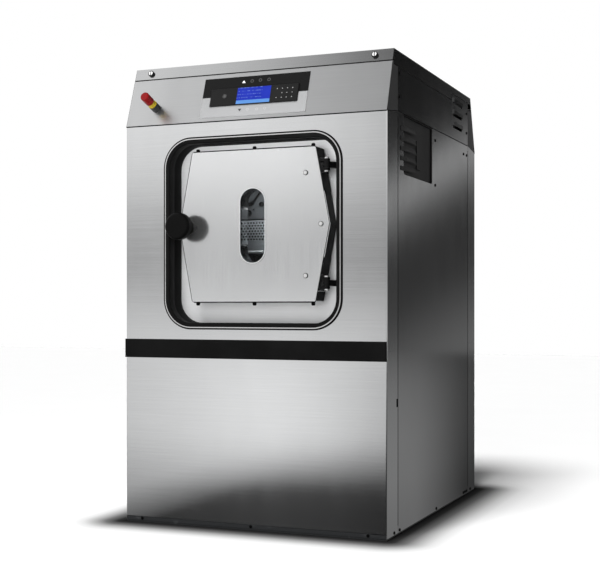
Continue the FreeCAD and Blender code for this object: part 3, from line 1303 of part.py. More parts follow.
def drive_motor():
    half = MOTOR_LENGTH / 2
    body = rod(Vector(MOTOR_BELL - half, MOTOR_Y, MOTOR_Z), ALONG_X, MOTOR_RADIUS, MOTOR_LENGTH - 2 * MOTOR_BELL)
    ends = rod(Vector(-half, MOTOR_Y, MOTOR_Z), ALONG_X, MOTOR_RADIUS - MOTOR_BELL_STEP, MOTOR_LENGTH)
    feet = []
    for x in (MOTOR_BELL - half, half - MOTOR_BELL - MOTOR_FOOT_WIDTH):
        feet.append(box(x, x + MOTOR_FOOT_WIDTH, MOTOR_Y - MOTOR_RADIUS * 3 / 4, MOTOR_Y + MOTOR_RADIUS * 3 / 4,
                        MOTOR_Z, MOTOR_Z + MOTOR_RADIUS + MOTOR_FOOT))
    bore = rod(Vector(-half - PAST, MOTOR_Y, MOTOR_Z), ALONG_X, MOTOR_SHAFT + MOTOR_SHAFT_PLAY, half + PAST)
    return merge(body, ends, *feet).cut(bore)


def motor_pulley():
    rim = grooved_rim(MOTOR_PULLEY_RADIUS, MOTOR_SHAFT, MOTOR_Y, MOTOR_Z)
    shaft = rod(Vector(PULLEY_LEFT, MOTOR_Y, MOTOR_Z), ALONG_X, MOTOR_SHAFT, -PAST - PULLEY_LEFT)
    return merge(rim, shaft)


# Cradle, suspension and drain

def saddle(x):
    outline = [(-SADDLE_HALF_DEPTH, CRADLE_Z), (SADDLE_HALF_DEPTH, CRADLE_Z), (SADDLE_HALF_DEPTH, SADDLE_SHOULDER),
               (SADDLE_TOP_HALF, SADDLE_TOP), (-SADDLE_TOP_HALF, SADDLE_TOP), (-SADDLE_HALF_DEPTH, SADDLE_SHOULDER)]
    plate = prism_along_x(outline, x - SADDLE_THICK / 2, x + SADDLE_THICK / 2)
    return plate.cut(rod(Vector(x - SADDLE_THICK, 0, AXIS_Z), ALONG_X, TUB_OUTER, 2 * SADDLE_THICK))


def tub_cradle():
    half = CRADLE_BEAM_LENGTH / 2
    front = -SUSPENSION_Y - CRADLE_BEAM_WIDTH / 2
    beam = hollow_rail(-half, half, front, front + CRADLE_BEAM_WIDTH, CRADLE_LOW, CRADLE_Z, CRADLE_TUBE_WALL, "x")
    top = MOTOR_Z + MOTOR_RADIUS + MOTOR_FOOT
    bracket = box(-SADDLE_X, SADDLE_X, MOTOR_Y - MOTOR_BRACKET_WIDTH / 2, MOTOR_Y + MOTOR_BRACKET_WIDTH / 2,
                  top, top + MOTOR_BRACKET_THICK)
    return merge(beam, at_rear(beam), saddle(-SADDLE_X), saddle(SADDLE_X), bracket)


def at_corners(x, piece):
    return Part.makeCompound([piece(Vector(sx * x, sy * SUSPENSION_Y, 0)) for sx in (-1, 1) for sy in (-1, 1)])


def suspension_springs():
    def sleeve(place):
        inner = SPRING_RADIUS - SPRING_WALL
        return pipe(place + ALONG_Z * BEAM_TOP, ALONG_Z, SPRING_RADIUS, inner, CRADLE_LOW - BEAM_TOP)

    return at_corners(SPRING_X, sleeve)


def damper_cylinders():
    def cylinder(place):
        foot = place + ALONG_Z * BEAM_TOP
        bore = rod(foot + ALONG_Z * DAMPER_FLOOR, ALONG_Z, DAMPER_ROD + DAMPER_PLAY, DAMPER_LENGTH)
        return rod(foot, ALONG_Z, DAMPER_RADIUS, DAMPER_LENGTH).cut(bore)

    return at_corners(DAMPER_X, cylinder)


def damper_rods():
    def piston(place):
        start = BEAM_TOP + DAMPER_ROD_START
        return rod(place + ALONG_Z * start, ALONG_Z, DAMPER_ROD, CRADLE_LOW - start)

    return at_corners(DAMPER_X, piston)


def drain_valve():
    low = DRAIN_VALVE_Z - DRAIN_VALVE_RADIUS
    neck = rod(Vector(0, DRAIN_Y, DRAIN_VALVE_Z), ALONG_Z, DRAIN_NECK, AXIS_Z - DRAIN_VALVE_Z)
    neck = neck.cut(rod(Vector(-TUB_HALF, 0, AXIS_Z), ALONG_X, TUB_OUTER, TUB_LENGTH))
    half = DRAIN_VALVE_LENGTH / 2
    body = rod(Vector(-half, DRAIN_Y, DRAIN_VALVE_Z), ALONG_X, DRAIN_VALVE_RADIUS, DRAIN_VALVE_LENGTH)
    side = ACTUATOR_SIZE / 2
    actuator = Part.makeBox(ACTUATOR_SIZE, ACTUATOR_SIZE, ACTUATOR_SIZE,
                            Vector(half, DRAIN_Y - side, DRAIN_VALVE_Z - side))
    tail = rod(Vector(0, DRAIN_Y, DRAIN_TAIL_LOW), ALONG_Z, DRAIN_BORE, low + DRAIN_VALVE_RADIUS - DRAIN_TAIL_LOW)
    return merge(neck, body, actuator, tail)


def drain_outlet():
    # A socket below the valve, a bend, and a pipe out through the left side
    inner = DRAIN_BORE + DRAIN_SOCKET_GAP
    outer = inner + DRAIN_SOCKET_WALL
    bend_top = DRAIN_Z + DRAIN_BEND
    socket = pipe(Vector(0, DRAIN_Y, bend_top), ALONG_Z, outer, inner, DRAIN_SOCKET_TOP - bend_top)
    turn_centre = Vector(-DRAIN_BEND, DRAIN_Y, bend_top)
    ring = Part.Face([Part.Wire(Part.makeCircle(r, Vector(0, DRAIN_Y, bend_top), ALONG_Z)) for r in (outer, inner)])
    bend = ring.revolve(turn_centre, ALONG_Y, 90)
    run = pipe(Vector(-DRAIN_BEND, DRAIN_Y, DRAIN_Z), -ALONG_X, outer, inner, HALF_WIDTH - DRAIN_BEND)
    return merge(socket, bend, run)


def left_side_panel():
    outer = DRAIN_BORE + DRAIN_SOCKET_GAP + DRAIN_SOCKET_WALL + FRAME_CLEARANCE
    hole = rod(Vector(-HALF_WIDTH - PAST, DRAIN_Y, DRAIN_Z), ALONG_X, outer, 3 * SHEET)
    return at_left(lower_side_panel()).cut(hole)


# Every node of the assembly, by name

def nodes():
    pieces = {
        "base_frame": base_frame(),
        "inner_frame": inner_frame(),
        "front_lower_panel": front_lower_panel(),
        "front_upper_panel": front_upper_panel(),
        "front_control_panel": front_control_panel(),
        "rear_lower_panel": at_rear(lower_panel_blank()),
        "rear_upper_panel": at_rear(front_upper_panel()),
        "rear_control_panel": rear_control_panel(),
        "right_side_panel": lower_side_panel(),
        "left_side_panel": left_side_panel(),
        "right_upper_side_panel": upper_side_panel(),
        "left_upper_side_panel": at_left(upper_side_panel()),
        "vent_grille": vent_grille(),
        "water_inlets": water_inlets(),
        "bumper_strip": bumper_strip(),
        "panel_screws": panel_screws(),
        "top_lid": top_lid(),
        "left_lid_lock": lid_lock("left"),
        "right_lid_lock": lid_lock("right"),
        "door_bellows": door_bellows(),
        "opening_trims": opening_trims(),
        "keypad_overlay": keypad_overlay(),
        "display_bezel": display_bezel(),
        "display_screen": display_screen(),
        "control_box": control_box(),
        "estop_collars": estop_collars(),
        "front_estop_button": estop_button(),
        "rear_estop_button": at_rear(estop_button()),
        "tub_shell": tub_shell(),
        "tub_end_plates": tub_end_plates(),
        "tub_door_plates": tub_door_plates(),
        "drum_bearings": drum_bearings(),
        "hinge_brackets": hinge_brackets(),
        "tub_cradle": tub_cradle(),
        "drive_motor": drive_motor(),
        "drive_belt": drive_belt(),
        "motor_pulley": motor_pulley(),
        "suspension_springs": suspension_springs(),
        "damper_cylinders": damper_cylinders(),
        "damper_rods": damper_rods(),
        "drain_valve": drain_valve(),
        "drain_outlet": drain_outlet(),
        "drum_shell": drum_shell(),
        "drum_heads": drum_heads(),
        "drum_lifters": drum_lifters(),
        "drum_pulley": drum_pulley(),
        "upper_drum_flap": upper_drum_flap(),
        "lower_drum_flap": lower_drum_flap(),
    }
    door = {
        "door_skin": door_skin(),
        "door_liner": door_liner(),
        "door_glass": door_glass(),
        "door_seal": door_seal(),
        "door_hinge_leaves": door_hinge_leaves(),
        "door_knob": door_knob(),
    }
    for name, shape in door.items():
        pieces["front_" + name] = shape
        pieces["rear_" + name] = at_rear(shape)
    return pieces


os.makedirs("parts", exist_ok=True)
for name, shape in nodes().items():
    shape.exportStep("parts/" + name + ".step")
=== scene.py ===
import json
import math

import bpy
from mathutils import Matrix, Vector


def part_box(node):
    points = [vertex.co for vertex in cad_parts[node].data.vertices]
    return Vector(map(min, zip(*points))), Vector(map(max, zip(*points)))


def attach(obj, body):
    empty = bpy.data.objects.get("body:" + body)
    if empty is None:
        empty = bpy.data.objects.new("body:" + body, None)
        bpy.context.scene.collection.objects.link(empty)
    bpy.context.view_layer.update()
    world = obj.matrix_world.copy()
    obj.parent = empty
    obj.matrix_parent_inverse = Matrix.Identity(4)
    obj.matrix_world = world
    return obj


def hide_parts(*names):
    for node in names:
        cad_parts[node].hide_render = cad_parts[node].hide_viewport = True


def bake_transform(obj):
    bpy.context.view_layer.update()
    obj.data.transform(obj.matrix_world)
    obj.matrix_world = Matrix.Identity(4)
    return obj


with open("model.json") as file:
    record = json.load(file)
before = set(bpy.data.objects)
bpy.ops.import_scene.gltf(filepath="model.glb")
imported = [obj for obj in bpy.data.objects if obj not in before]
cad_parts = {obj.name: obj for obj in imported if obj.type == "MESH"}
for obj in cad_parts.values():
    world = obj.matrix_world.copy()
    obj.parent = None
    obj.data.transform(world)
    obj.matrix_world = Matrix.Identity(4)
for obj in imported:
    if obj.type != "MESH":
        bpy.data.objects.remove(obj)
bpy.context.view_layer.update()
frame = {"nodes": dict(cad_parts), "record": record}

# Places and sizes taken from the CAD, in metres
HALF_WIDTH = 0.485
FRONT = -0.585
SLOPE_FOOT = Vector((0, FRONT, 1.394))
SLOPE_RUN = 0.076
SLOPE_RISE = 0.216
LOCK_X = 0.421
LOCK_UP = 0.20778
OPENING_Z = 1.012
OPENING_HALF = 0.310
OPENING_CORNER = 0.083
DRUM_Z = 1.034
DRUM_RADIUS = 0.375
DOOR_HALF_WIDTH = 0.280
DOOR_HALF_HEIGHT = 0.2605
DOOR_SCREW_X = 0.195
DOOR_SCREW_RISE = 0.172
DOOR_MID_SCREW_X = 0.250
FLANK_RUN = 0.049
WINDOW_HALF_WIDTH = 0.0455
WINDOW_HALF_HEIGHT = 0.1265
WELL_RADIUS = 0.060
SEAL_HALF_WIDTH = 0.205
SEAL_HALF_HEIGHT = 0.215
SEAL_CORNER = 0.040
HINGE_RISE = 0.197
HINGE_HALF_HEIGHT = 0.0196
PIN_X = 0.266
PIN_Y = 0.557
PIN_HEAD = 0.0095
SPRING_X = 0.310
SPRING_Y = 0.330

# Drain holes of the drum, in staggered rows
HOLE_PITCH = 0.0112
ROW_SHARE = 0.866
ROW_PITCH = HOLE_PITCH * ROW_SHARE

# Directions
LEAN = math.atan2(SLOPE_RUN, SLOPE_RISE)
UP_SLOPE = Vector((0, math.sin(LEAN), math.cos(LEAN)))
OFF_SLOPE = Vector((0, -math.cos(LEAN), math.sin(LEAN)))
OFF_FLANK = Vector((DOOR_HALF_HEIGHT, FLANK_RUN)).normalized()
LEVEL = Matrix.Identity(4)
HALF_TURN = Matrix.Rotation(math.pi, 4, "Z")
SIDES = (("front", LEVEL), ("rear", HALF_TURN))


# Materials

class Nodes:
    """Small helpers that build up one node tree."""

    def __init__(self, tree, place):
        self.tree = tree
        self.place = self.node("ShaderNodeTexCoord").outputs[place]

    def node(self, kind, **settings):
        made = self.tree.nodes.new(kind)
        for key, value in settings.items():
            setattr(made, key, value)
        return made

    def feed(self, socket, value):
        if isinstance(value, bpy.types.NodeSocket):
            self.tree.links.new(value, socket)
        else:
            socket.default_value = value

    def scaled(self, sizes):
        made = self.node("ShaderNodeVectorMath", operation="MULTIPLY")
        self.feed(made.inputs[0], self.place)
        made.inputs[1].default_value = sizes
        return made.outputs[0]

    def along(self, direction, origin):
        """Distance from an origin, measured along a direction."""
        made = self.node("ShaderNodeVectorMath", operation="DOT_PRODUCT")
        self.feed(made.inputs[0], self.place)
        made.inputs[1].default_value = direction
        return self.minus(made.outputs["Value"], direction.dot(origin))

    def axis(self, name):
        made = self.node("ShaderNodeSeparateXYZ")
        self.feed(made.inputs[0], self.place)
        return made.outputs[name]

    def rise(self):
        """Height above the drum's axis."""
        return self.minus(self.axis("Z"), DRUM_Z)

    def noise(self, vector, scale, detail):
        made = self.node("ShaderNodeTexNoise")
        self.feed(made.inputs["Vector"], vector)
        made.inputs["Scale"].default_value = scale
        made.inputs["Detail"].default_value = detail
        return made.outputs["Fac"]

    def cells(self, vector, scale):
        made = self.node("ShaderNodeTexVoronoi")
        self.feed(made.inputs["Vector"], vector)
        made.inputs["Scale"].default_value = scale
        return made.outputs["Distance"]

    def maths(self, operation, first, second=0.0):
        made = self.node("ShaderNodeMath", operation=operation)
        self.feed(made.inputs[0], first)
        self.feed(made.inputs[1], second)
        return made.outputs[0]

    def plus(self, first, second):
        return self.maths("ADD", first, second)

    def minus(self, first, second):
        return self.maths("SUBTRACT", first, second)

    def times(self, *values):
        result = values[0]
        for value in values[1:]:
            result = self.maths("MULTIPLY", result, value)
        return result

    def ratio(self, first, second):
        return self.maths("DIVIDE", first, second)

    def size(self, value):
        return self.maths("ABSOLUTE", value)

    def below(self, value, limit):
        return self.maths("LESS_THAN", value, limit)

    def above(self, value, limit):
        return self.maths("GREATER_THAN", value, limit)

    def past(self, value, limit):
        """How far a value goes past a limit, and 0 before it."""
        return self.maths("MAXIMUM", self.minus(value, limit), 0.0)

    def reach(self, *offsets):
        """Length of a vector given by its components."""
        result = self.maths("POWER", offsets[0], 2.0)
        for offset in offsets[1:]:
            result = self.plus(result, self.maths("POWER", offset, 2.0))
        return self.maths("SQRT", result)

    def span(self, value, low, high, to_low=0.0, to_high=1.0):
        """A value between two ends, mapped to two other ends and held there."""
        made = self.node("ShaderNodeMapRange")
        self.feed(made.inputs["Value"], value)
        for key, number in zip(("From Min", "From Max", "To Min", "To Max"), (low, high, to_low, to_high)):
            made.inputs[key].default_value = number
        return made.outputs["Result"]

    def fade(self, value, start, end):
        """1 up to a start, and 0 past an end."""
        return self.span(value, start, end, 1.0, 0.0)

    def spread(self, noise, low=0.0, high=1.0):
        """A noise, which mostly keeps to the middle of its range, spread between two ends."""
        return self.span(noise, 0.3, 0.7, low, high)

    def mix(self, share, first, second):
        made = self.node("ShaderNodeMix", data_type="RGBA")
        self.feed(made.inputs["Factor"], share)
        self.feed(made.inputs["A"], first)
        self.feed(made.inputs["B"], second)
        return made.outputs["Result"]

    def ramp(self, value, stops):
        """A level that follows (input, level) stops."""
        low = stops[0][0]
        high = stops[-1][0]
        made = self.node("ShaderNodeValToRGB")
        self.feed(made.inputs["Fac"], self.span(value, low, high))
        elements = made.color_ramp.elements
        elements[0].color = grey(stops[0][1])
        elements[1].color = grey(stops[-1][1])
        for place, level in stops[1:-1]:
            elements.new((place - low) / (high - low)).color = grey(level)
        return made.outputs["Color"]


FINISH = {}


class Paint(Nodes):
    """One procedural material, kept in FINISH by its name."""

    def __init__(self, name):
        self.material = bpy.data.materials.new(name)
        self.material.use_nodes = True
        super().__init__(self.material.node_tree, "Object")
        self.shader = self.tree.nodes["Principled BSDF"]
        FINISH[name] = self.material

    def set(self, **values):
        for key, value in values.items():
            self.feed(self.shader.inputs[key.replace("_", " ")], value)

    def bump(self, height, strength, distance):
        made = self.node("ShaderNodeBump")
        made.inputs["Strength"].default_value = strength
        made.inputs["Distance"].default_value = distance
        self.feed(made.inputs["Height"], height)
        self.feed(self.shader.inputs["Normal"], made.outputs["Normal"])


def grey(tone, warm=0.0):
    return (tone * (1 + warm), tone, tone * (1 - warm), 1)


# Grain of brushed sheet and of scratched hardware: fine on two axes and longer on the third
ACROSS = (5.0, 900.0, 900.0)
ALONG = (900.0, 5.0, 900.0)
TALL = (900.0, 900.0, 5.0)
SCRATCHED = (1400.0, 300.0, 1400.0)

# Cool tints of steel, and the width over which the cheeks' painted shade comes in
STEEL_COOL = -0.008
DRUM_COOL = -0.05
CHEEK_SHADE_EDGE = 0.0008


def brushed(name, tone, rough, grain, metal=1.0, cheek_shade=None, cheek_shade_from=0.4836):
    """Brushed sheet: a fine grain, broad faint handling marks and, where asked, side cheeks darkened with
    painted shade.
    """
    paint = Paint(name)
    lines = paint.noise(paint.scaled(grain), 1.0, 4.0)
    smear = paint.noise(paint.place, 3.2, 5.0)
    wiped = paint.noise(paint.scaled((2.0, 2.0, 0.7)), 6.0, 2.0)
    shade = paint.plus(paint.times(lines, 0.7), paint.times(smear, 0.3))
    colour = paint.mix(paint.spread(shade), grey(tone * 0.94, STEEL_COOL), grey(tone * 1.05, STEEL_COOL))
    # Painted shade: past a given |x| the sheet's side cheeks are toned darker, for the shade that falls on
    # them
    if cheek_shade:
        outer = paint.span(paint.size(paint.axis("X")), cheek_shade_from, cheek_shade_from + CHEEK_SHADE_EDGE)
        colour = paint.mix(outer, colour, grey(tone * cheek_shade, STEEL_COOL))
    gloss = paint.plus(paint.spread(lines, rough * 0.92, rough * 1.08),
                       paint.span(wiped, 0.35, 0.75, rough * -0.06, rough * 0.10))
    paint.set(Base_Color=colour, Roughness=gloss, Metallic=metal)
    paint.bump(lines, 0.035, 0.0004)


def lined_sheet(name):
    """Door liner sheet, with a lining round the window's well: polished at the sides, and black at the ends
    as painted shade.
    """
    paint = Paint(name)
    rise = paint.size(paint.rise())
    past_straight = paint.past(rise, WINDOW_HALF_HEIGHT - WINDOW_HALF_WIDTH)
    from_well = paint.reach(paint.size(paint.axis("X")), past_straight)
    well = paint.fade(from_well, WELL_RADIUS - 0.0005, WELL_RADIUS + 0.0005)
    # Painted shade: the well's top and bottom ends are black and not metallic, for the shade there
    ends = paint.times(well, paint.span(rise, 0.058, 0.068))
    lines = paint.noise(paint.scaled(ACROSS), 1.0, 4.0)
    sheet = paint.mix(lines, grey(0.58), grey(0.70))
    colour = paint.mix(ends, paint.mix(well, sheet, grey(0.55)), grey(0.004))
    paint.set(Base_Color=colour, Metallic=paint.minus(1.0, ends), Specular_IOR_Level=0.1)
    paint.set(Roughness=paint.times(paint.spread(lines, 0.26, 0.34), paint.span(well, 0.0, 1.0, 1.0, 0.1)))


def moulded(name, colour, worn, rough, scale=900.0, depth=0.12, shine=0.4):
    """Moulded plastic or rubber: a fine skin grain and a faint dusty bloom."""
    paint = Paint(name)
    skin = paint.noise(paint.place, scale, 2.0)
    bloom = paint.noise(paint.place, 7.0, 5.0)
    paint.set(Base_Color=paint.mix(paint.span(bloom, 0.45, 0.8), colour, worn), Specular_IOR_Level=shine)
    paint.set(Roughness=paint.span(paint.plus(skin, bloom), 0.7, 1.3, rough - 0.06, rough + 0.08))
    paint.bump(skin, depth, 0.0004)


def coated(name, colour, rough):
    """Painted steel with a light orange-peel skin and small rubbed spots."""
    paint = Paint(name)
    peel = paint.noise(paint.place, 420.0, 2.0)
    rubbed = paint.noise(paint.place, 26.0, 6.0)
    bright = tuple(min(1.0, c * 1.7 + 0.02) for c in colour[:3]) + (1,)
    paint.set(Base_Color=paint.mix(paint.span(rubbed, 0.6, 0.78), colour, bright))
    paint.set(Roughness=paint.spread(rubbed, rough, rough + 0.1))
    paint.bump(peel, 0.15, 0.0005)


def cast(name, tone, rough):
    """Cast metal with a pitted skin."""
    paint = Paint(name)
    pits = paint.cells(paint.place, 260.0)
    patch = paint.noise(paint.place, 18.0, 5.0)
    paint.set(Base_Color=paint.mix(patch, grey(tone * 0.7, 0.02), grey(tone * 1.25, 0.02)))
    paint.set(Roughness=paint.spread(patch, rough - 0.08, rough + 0.1), Metallic=0.85)
    paint.bump(pits, 0.35, 0.0008)


def machined(name, tone, rough):
    """Turned or pressed hardware with fine scratches."""
    paint = Paint(name)
    scratch = paint.noise(paint.scaled(SCRATCHED), 1.0, 4.0)
    stain = paint.noise(paint.place, 60.0, 3.0)
    paint.set(Base_Color=paint.mix(paint.span(stain, 0.3, 0.75), grey(tone * 1.06), grey(tone * 0.86)))
    paint.set(Roughness=paint.spread(scratch, rough - 0.05, rough + 0.07), Metallic=1.0)
    paint.bump(scratch, 0.08, 0.0003)


def polished(name):
    """Bright trim with a faint haze."""
    paint = Paint(name)
    haze = paint.noise(paint.place, 35.0, 4.0)
    paint.set(Base_Color=paint.mix(haze, grey(0.58), grey(0.68)))
    paint.set(Roughness=paint.spread(haze, 0.12, 0.2), Metallic=1.0)


def drain_holes(paint):
    """1 inside the staggered drain holes, which run in bands round the drum, and 0 elsewhere."""
    first_row = -0.8
    first_column = -0.5
    band_start = -0.040
    band_pitch = 0.113
    band_width = 0.071
    half_length = 0.165
    hole_share = 0.29
    rim_share = 0.34
    x = paint.axis("X")
    angle = paint.maths("ARCTAN2", paint.rise(), paint.times(paint.axis("Y"), -1.0))
    round_way = paint.times(angle, DRUM_RADIUS)
    row = paint.ratio(paint.minus(round_way, first_row), ROW_PITCH)
    shift = paint.times(paint.maths("MODULO", paint.maths("FLOOR", row), 2.0), 0.5)
    column = paint.plus(paint.ratio(paint.minus(x, first_column), HOLE_PITCH), shift)
    across = paint.minus(paint.maths("FRACT", column), 0.5)
    upward = paint.times(paint.minus(paint.maths("FRACT", row), 0.5), ROW_SHARE)
    hole = paint.fade(paint.reach(across, upward), hole_share, rim_share)
    band = paint.maths("MODULO", paint.plus(round_way, 12 * band_pitch - band_start), band_pitch)
    return paint.times(hole, paint.below(band, band_width), paint.below(paint.size(x), half_length))


def drum_sheet(name, tones, holes=False, shadow_below=None):
    """Satin drum sheet, with drain holes painted black, or a painted shadow along its foot, where asked."""
    paint = Paint(name)
    lines = paint.noise(paint.scaled((6.0, 500.0, 500.0)), 1.0, 3.0)
    colour = paint.mix(paint.spread(lines), grey(tones[0], DRUM_COOL), grey(tones[1], DRUM_COOL))
    metal = 0.55
    if shadow_below is not None:
        # Painted shadow: below the pull bar the sheet fades to near black, for the shade under the bar
        lit = paint.span(paint.rise(), shadow_below - 0.006, shadow_below)
        colour = paint.mix(lit, grey(tones[0] * 0.08), colour)
    if holes:
        # Painted shade: each drain hole is painted black, for the dark seen through it
        hole = drain_holes(paint)
        colour = paint.mix(hole, colour, (0.002, 0.002, 0.003, 1))
        metal = paint.span(hole, 0.0, 1.0, metal, 0.0)
        paint.bump(paint.times(hole, -1.0), 0.6, 0.0015)
    paint.set(Base_Color=colour, Metallic=metal, Specular_IOR_Level=0.2)
    paint.set(Roughness=paint.spread(lines, 0.40, 0.52))


def lock_face(name):
    """Lid lock with a bright face whose slot and surrounding rim are dark as painted shade."""
    face_radius = 0.0068
    shade_rim_radius = 0.0080
    half_slot = 0.0016
    paint = Paint(name)
    across = paint.minus(paint.size(paint.axis("X")), LOCK_X)
    up = paint.minus(paint.along(UP_SLOPE, SLOPE_FOOT), LOCK_UP)
    # Painted shade: the face is bright only inside its rim and away from its slot; the rest is dark
    face = paint.fade(paint.reach(across, up), face_radius, shade_rim_radius)
    face = paint.times(face, paint.above(paint.size(across), half_slot))
    wear = paint.noise(paint.place, 300.0, 3.0)
    dark = paint.mix(wear, grey(0.004), grey(0.010))
    paint.set(Base_Color=paint.mix(face, dark, paint.mix(wear, grey(0.84), grey(0.95))))
    paint.set(Metallic=paint.times(face, 0.4), Specular_IOR_Level=0.2)
    paint.set(Roughness=paint.spread(wear, 0.22, 0.32))


def hinge_steel(name):
    """Dark hinge leaves with bright bolts, and bright domed screws darkened towards their rim with painted
    shadow.
    """
    dome_radius = 0.0050
    shade_rim_radius = 0.0078
    leaf_face = 0.0062
    leaf_front = 0.535
    paint = Paint(name)
    x = paint.size(paint.axis("X"))
    rise = paint.size(paint.rise())
    corner = paint.reach(paint.minus(x, DOOR_SCREW_X), paint.minus(rise, DOOR_SCREW_RISE))
    middle = paint.reach(paint.minus(x, DOOR_MID_SCREW_X), rise)
    # Painted shadow: each dome is bright at its middle and fades to dark towards its rim
    dome = paint.fade(paint.maths("MINIMUM", corner, middle), dome_radius, shade_rim_radius)
    out = paint.minus(x, DOOR_HALF_WIDTH)
    off = paint.plus(paint.times(out, OFF_FLANK.x), paint.times(rise, OFF_FLANK.y))
    bolt = paint.times(paint.above(off, leaf_face), paint.below(paint.size(paint.axis("Y")), leaf_front))
    shown = paint.maths("MAXIMUM", dome, bolt)
    wear = paint.noise(paint.scaled(SCRATCHED), 1.0, 4.0)
    dark = paint.mix(wear, grey(0.003), grey(0.007))
    bright = paint.mix(wear, grey(0.72), grey(0.86))
    paint.set(Base_Color=paint.mix(shown, dark, bright), Metallic=shown)
    paint.set(Roughness=paint.spread(wear, 0.20, 0.30), Specular_IOR_Level=0.06)
    paint.bump(wear, 0.06, 0.0003)


def hinge_bracket(name):
    """Black hinge arms with bright pin heads."""
    paint = Paint(name)
    x = paint.minus(paint.size(paint.axis("X")), PIN_X)
    y = paint.minus(paint.size(paint.axis("Y")), PIN_Y)
    from_hinge = paint.minus(paint.size(paint.rise()), HINGE_RISE)
    head = paint.times(paint.below(paint.reach(x, y), PIN_HEAD),
                       paint.above(paint.size(from_hinge), HINGE_HALF_HEIGHT))
    wear = paint.noise(paint.place, 240.0, 4.0)
    dark = paint.mix(wear, grey(0.003), grey(0.007))
    paint.set(Base_Color=paint.mix(head, dark, grey(0.85)), Metallic=head)
    paint.set(Roughness=paint.spread(wear, 0.22, 0.34), Specular_IOR_Level=0.06)
    paint.bump(wear, 0.08, 0.0003)


def two_tone_film(name):
    """Overlay film: black above the keys, pale grey below them."""
    edge_low = 0.0922
    edge_high = 0.0928
    paint = Paint(name)
    upper = paint.span(paint.along(UP_SLOPE, SLOPE_FOOT), edge_low, edge_high)
    fleck = paint.noise(paint.place, 600.0, 2.0)
    pale = paint.mix(fleck, grey(0.23, -0.01), grey(0.26, -0.01))
    black = paint.mix(fleck, grey(0.004), grey(0.008))
    paint.set(Base_Color=paint.mix(upper, pale, black), Roughness=paint.spread(fleck, 0.42, 0.52))
    paint.set(Specular_IOR_Level=0.12)
    paint.bump(fleck, 0.05, 0.0002)


def lit_screen(name):
    """Blue display with a pale bar along its foot and rows of plain dashes."""
    bar_top = 0.0712
    row_pitch = 0.0125
    row_half = 0.12
    dashes_end = 0.030
    paint = Paint(name)
    up = paint.along(UP_SLOPE, SLOPE_FOOT)
    bar = paint.below(up, bar_top)
    from_row = paint.size(paint.minus(paint.maths("FRACT", paint.ratio(up, row_pitch)), 0.5))
    dash = paint.span(paint.noise(paint.scaled((330.0, 0.0, 80.0)), 1.0, 1.0), 0.5, 0.56)
    dash = paint.times(dash, paint.below(from_row, row_half), paint.below(paint.axis("X"), dashes_end))
    dash = paint.times(dash, paint.minus(1.0, bar))
    glow = paint.noise(paint.place, 22.0, 2.0)
    blue = paint.mix(glow, (0.010, 0.030, 0.46, 1), (0.024, 0.050, 0.60, 1))
    blue = paint.mix(bar, blue, (0.14, 0.36, 0.84, 1))
    blue = paint.mix(paint.times(dash, 0.5), blue, (0.30, 0.45, 0.92, 1))
    paint.set(Base_Color=paint.mix(0.75, blue, grey(0.004)), Emission_Color=blue, Emission_Strength=0.40)
    paint.set(Specular_IOR_Level=0.1, Roughness=paint.spread(glow, 0.25, 0.35))


def stop_collar(name):
    """Black switch base with a yellow ring at its head."""
    ring_foot = 0.0309
    paint = Paint(name)
    front = paint.along(OFF_SLOPE, SLOPE_FOOT)
    rear = paint.along(HALF_TURN @ OFF_SLOPE, HALF_TURN @ SLOPE_FOOT)
    yellow = paint.above(paint.maths("MAXIMUM", front, rear), ring_foot)
    fleck = paint.noise(paint.place, 500.0, 2.0)
    dark = paint.mix(fleck, grey(0.012), grey(0.022))
    ring = paint.mix(fleck, (0.34, 0.24, 0.008, 1), (0.40, 0.29, 0.014, 1))
    paint.set(Base_Color=paint.mix(yellow, dark, ring), Roughness=paint.spread(fleck, 0.35, 0.45))
    paint.bump(fleck, 0.06, 0.0003)


def window_glass(name):
    """Toughened glass with a faint smear."""
    paint = Paint(name)
    smear = paint.noise(paint.place, 30.0, 4.0)
    paint.set(Base_Color=paint.mix(smear, (0.86, 0.90, 0.92, 1), (0.93, 0.96, 0.97, 1)))
    paint.set(Roughness=paint.span(smear, 0.3, 0.8, 0.0, 0.04))
    paint.set(Transmission_Weight=1.0, IOR=1.18)


# Painted light and shade: these stainless sheets are toned apart for how light falls on each, the lid and
# the sides darker, the upper sides much darker, the door lighter
brushed("front_sheet", 0.64, 0.13, ACROSS)
brushed("control_sheet", 0.64, 0.36, ACROSS, cheek_shade=0.10)
brushed("lid_sheet", 0.51, 0.16, ACROSS, cheek_shade=0.30)
brushed("side_sheet", 0.55, 0.11, TALL)
# Painted shade: the upper side panels are toned far darker than their steel
brushed("dark_sheet", 0.34, 0.12, ALONG, cheek_shade=0.12, cheek_shade_from=0.4851)
brushed("door_sheet", 0.73, 0.15, TALL, metal=0.96)
brushed("tub_sheet", 0.66, 0.27, ACROSS)
brushed("plate_sheet", 0.74, 0.42, ACROSS, metal=0.3)
brushed("bead", 0.95, 0.30, TALL, metal=0.8)
brushed("pull_steel", 0.85, 0.30, ALONG, metal=0.4)
lined_sheet("liner_sheet")
drum_sheet("drum_sheet", (0.34, 0.48), holes=True)
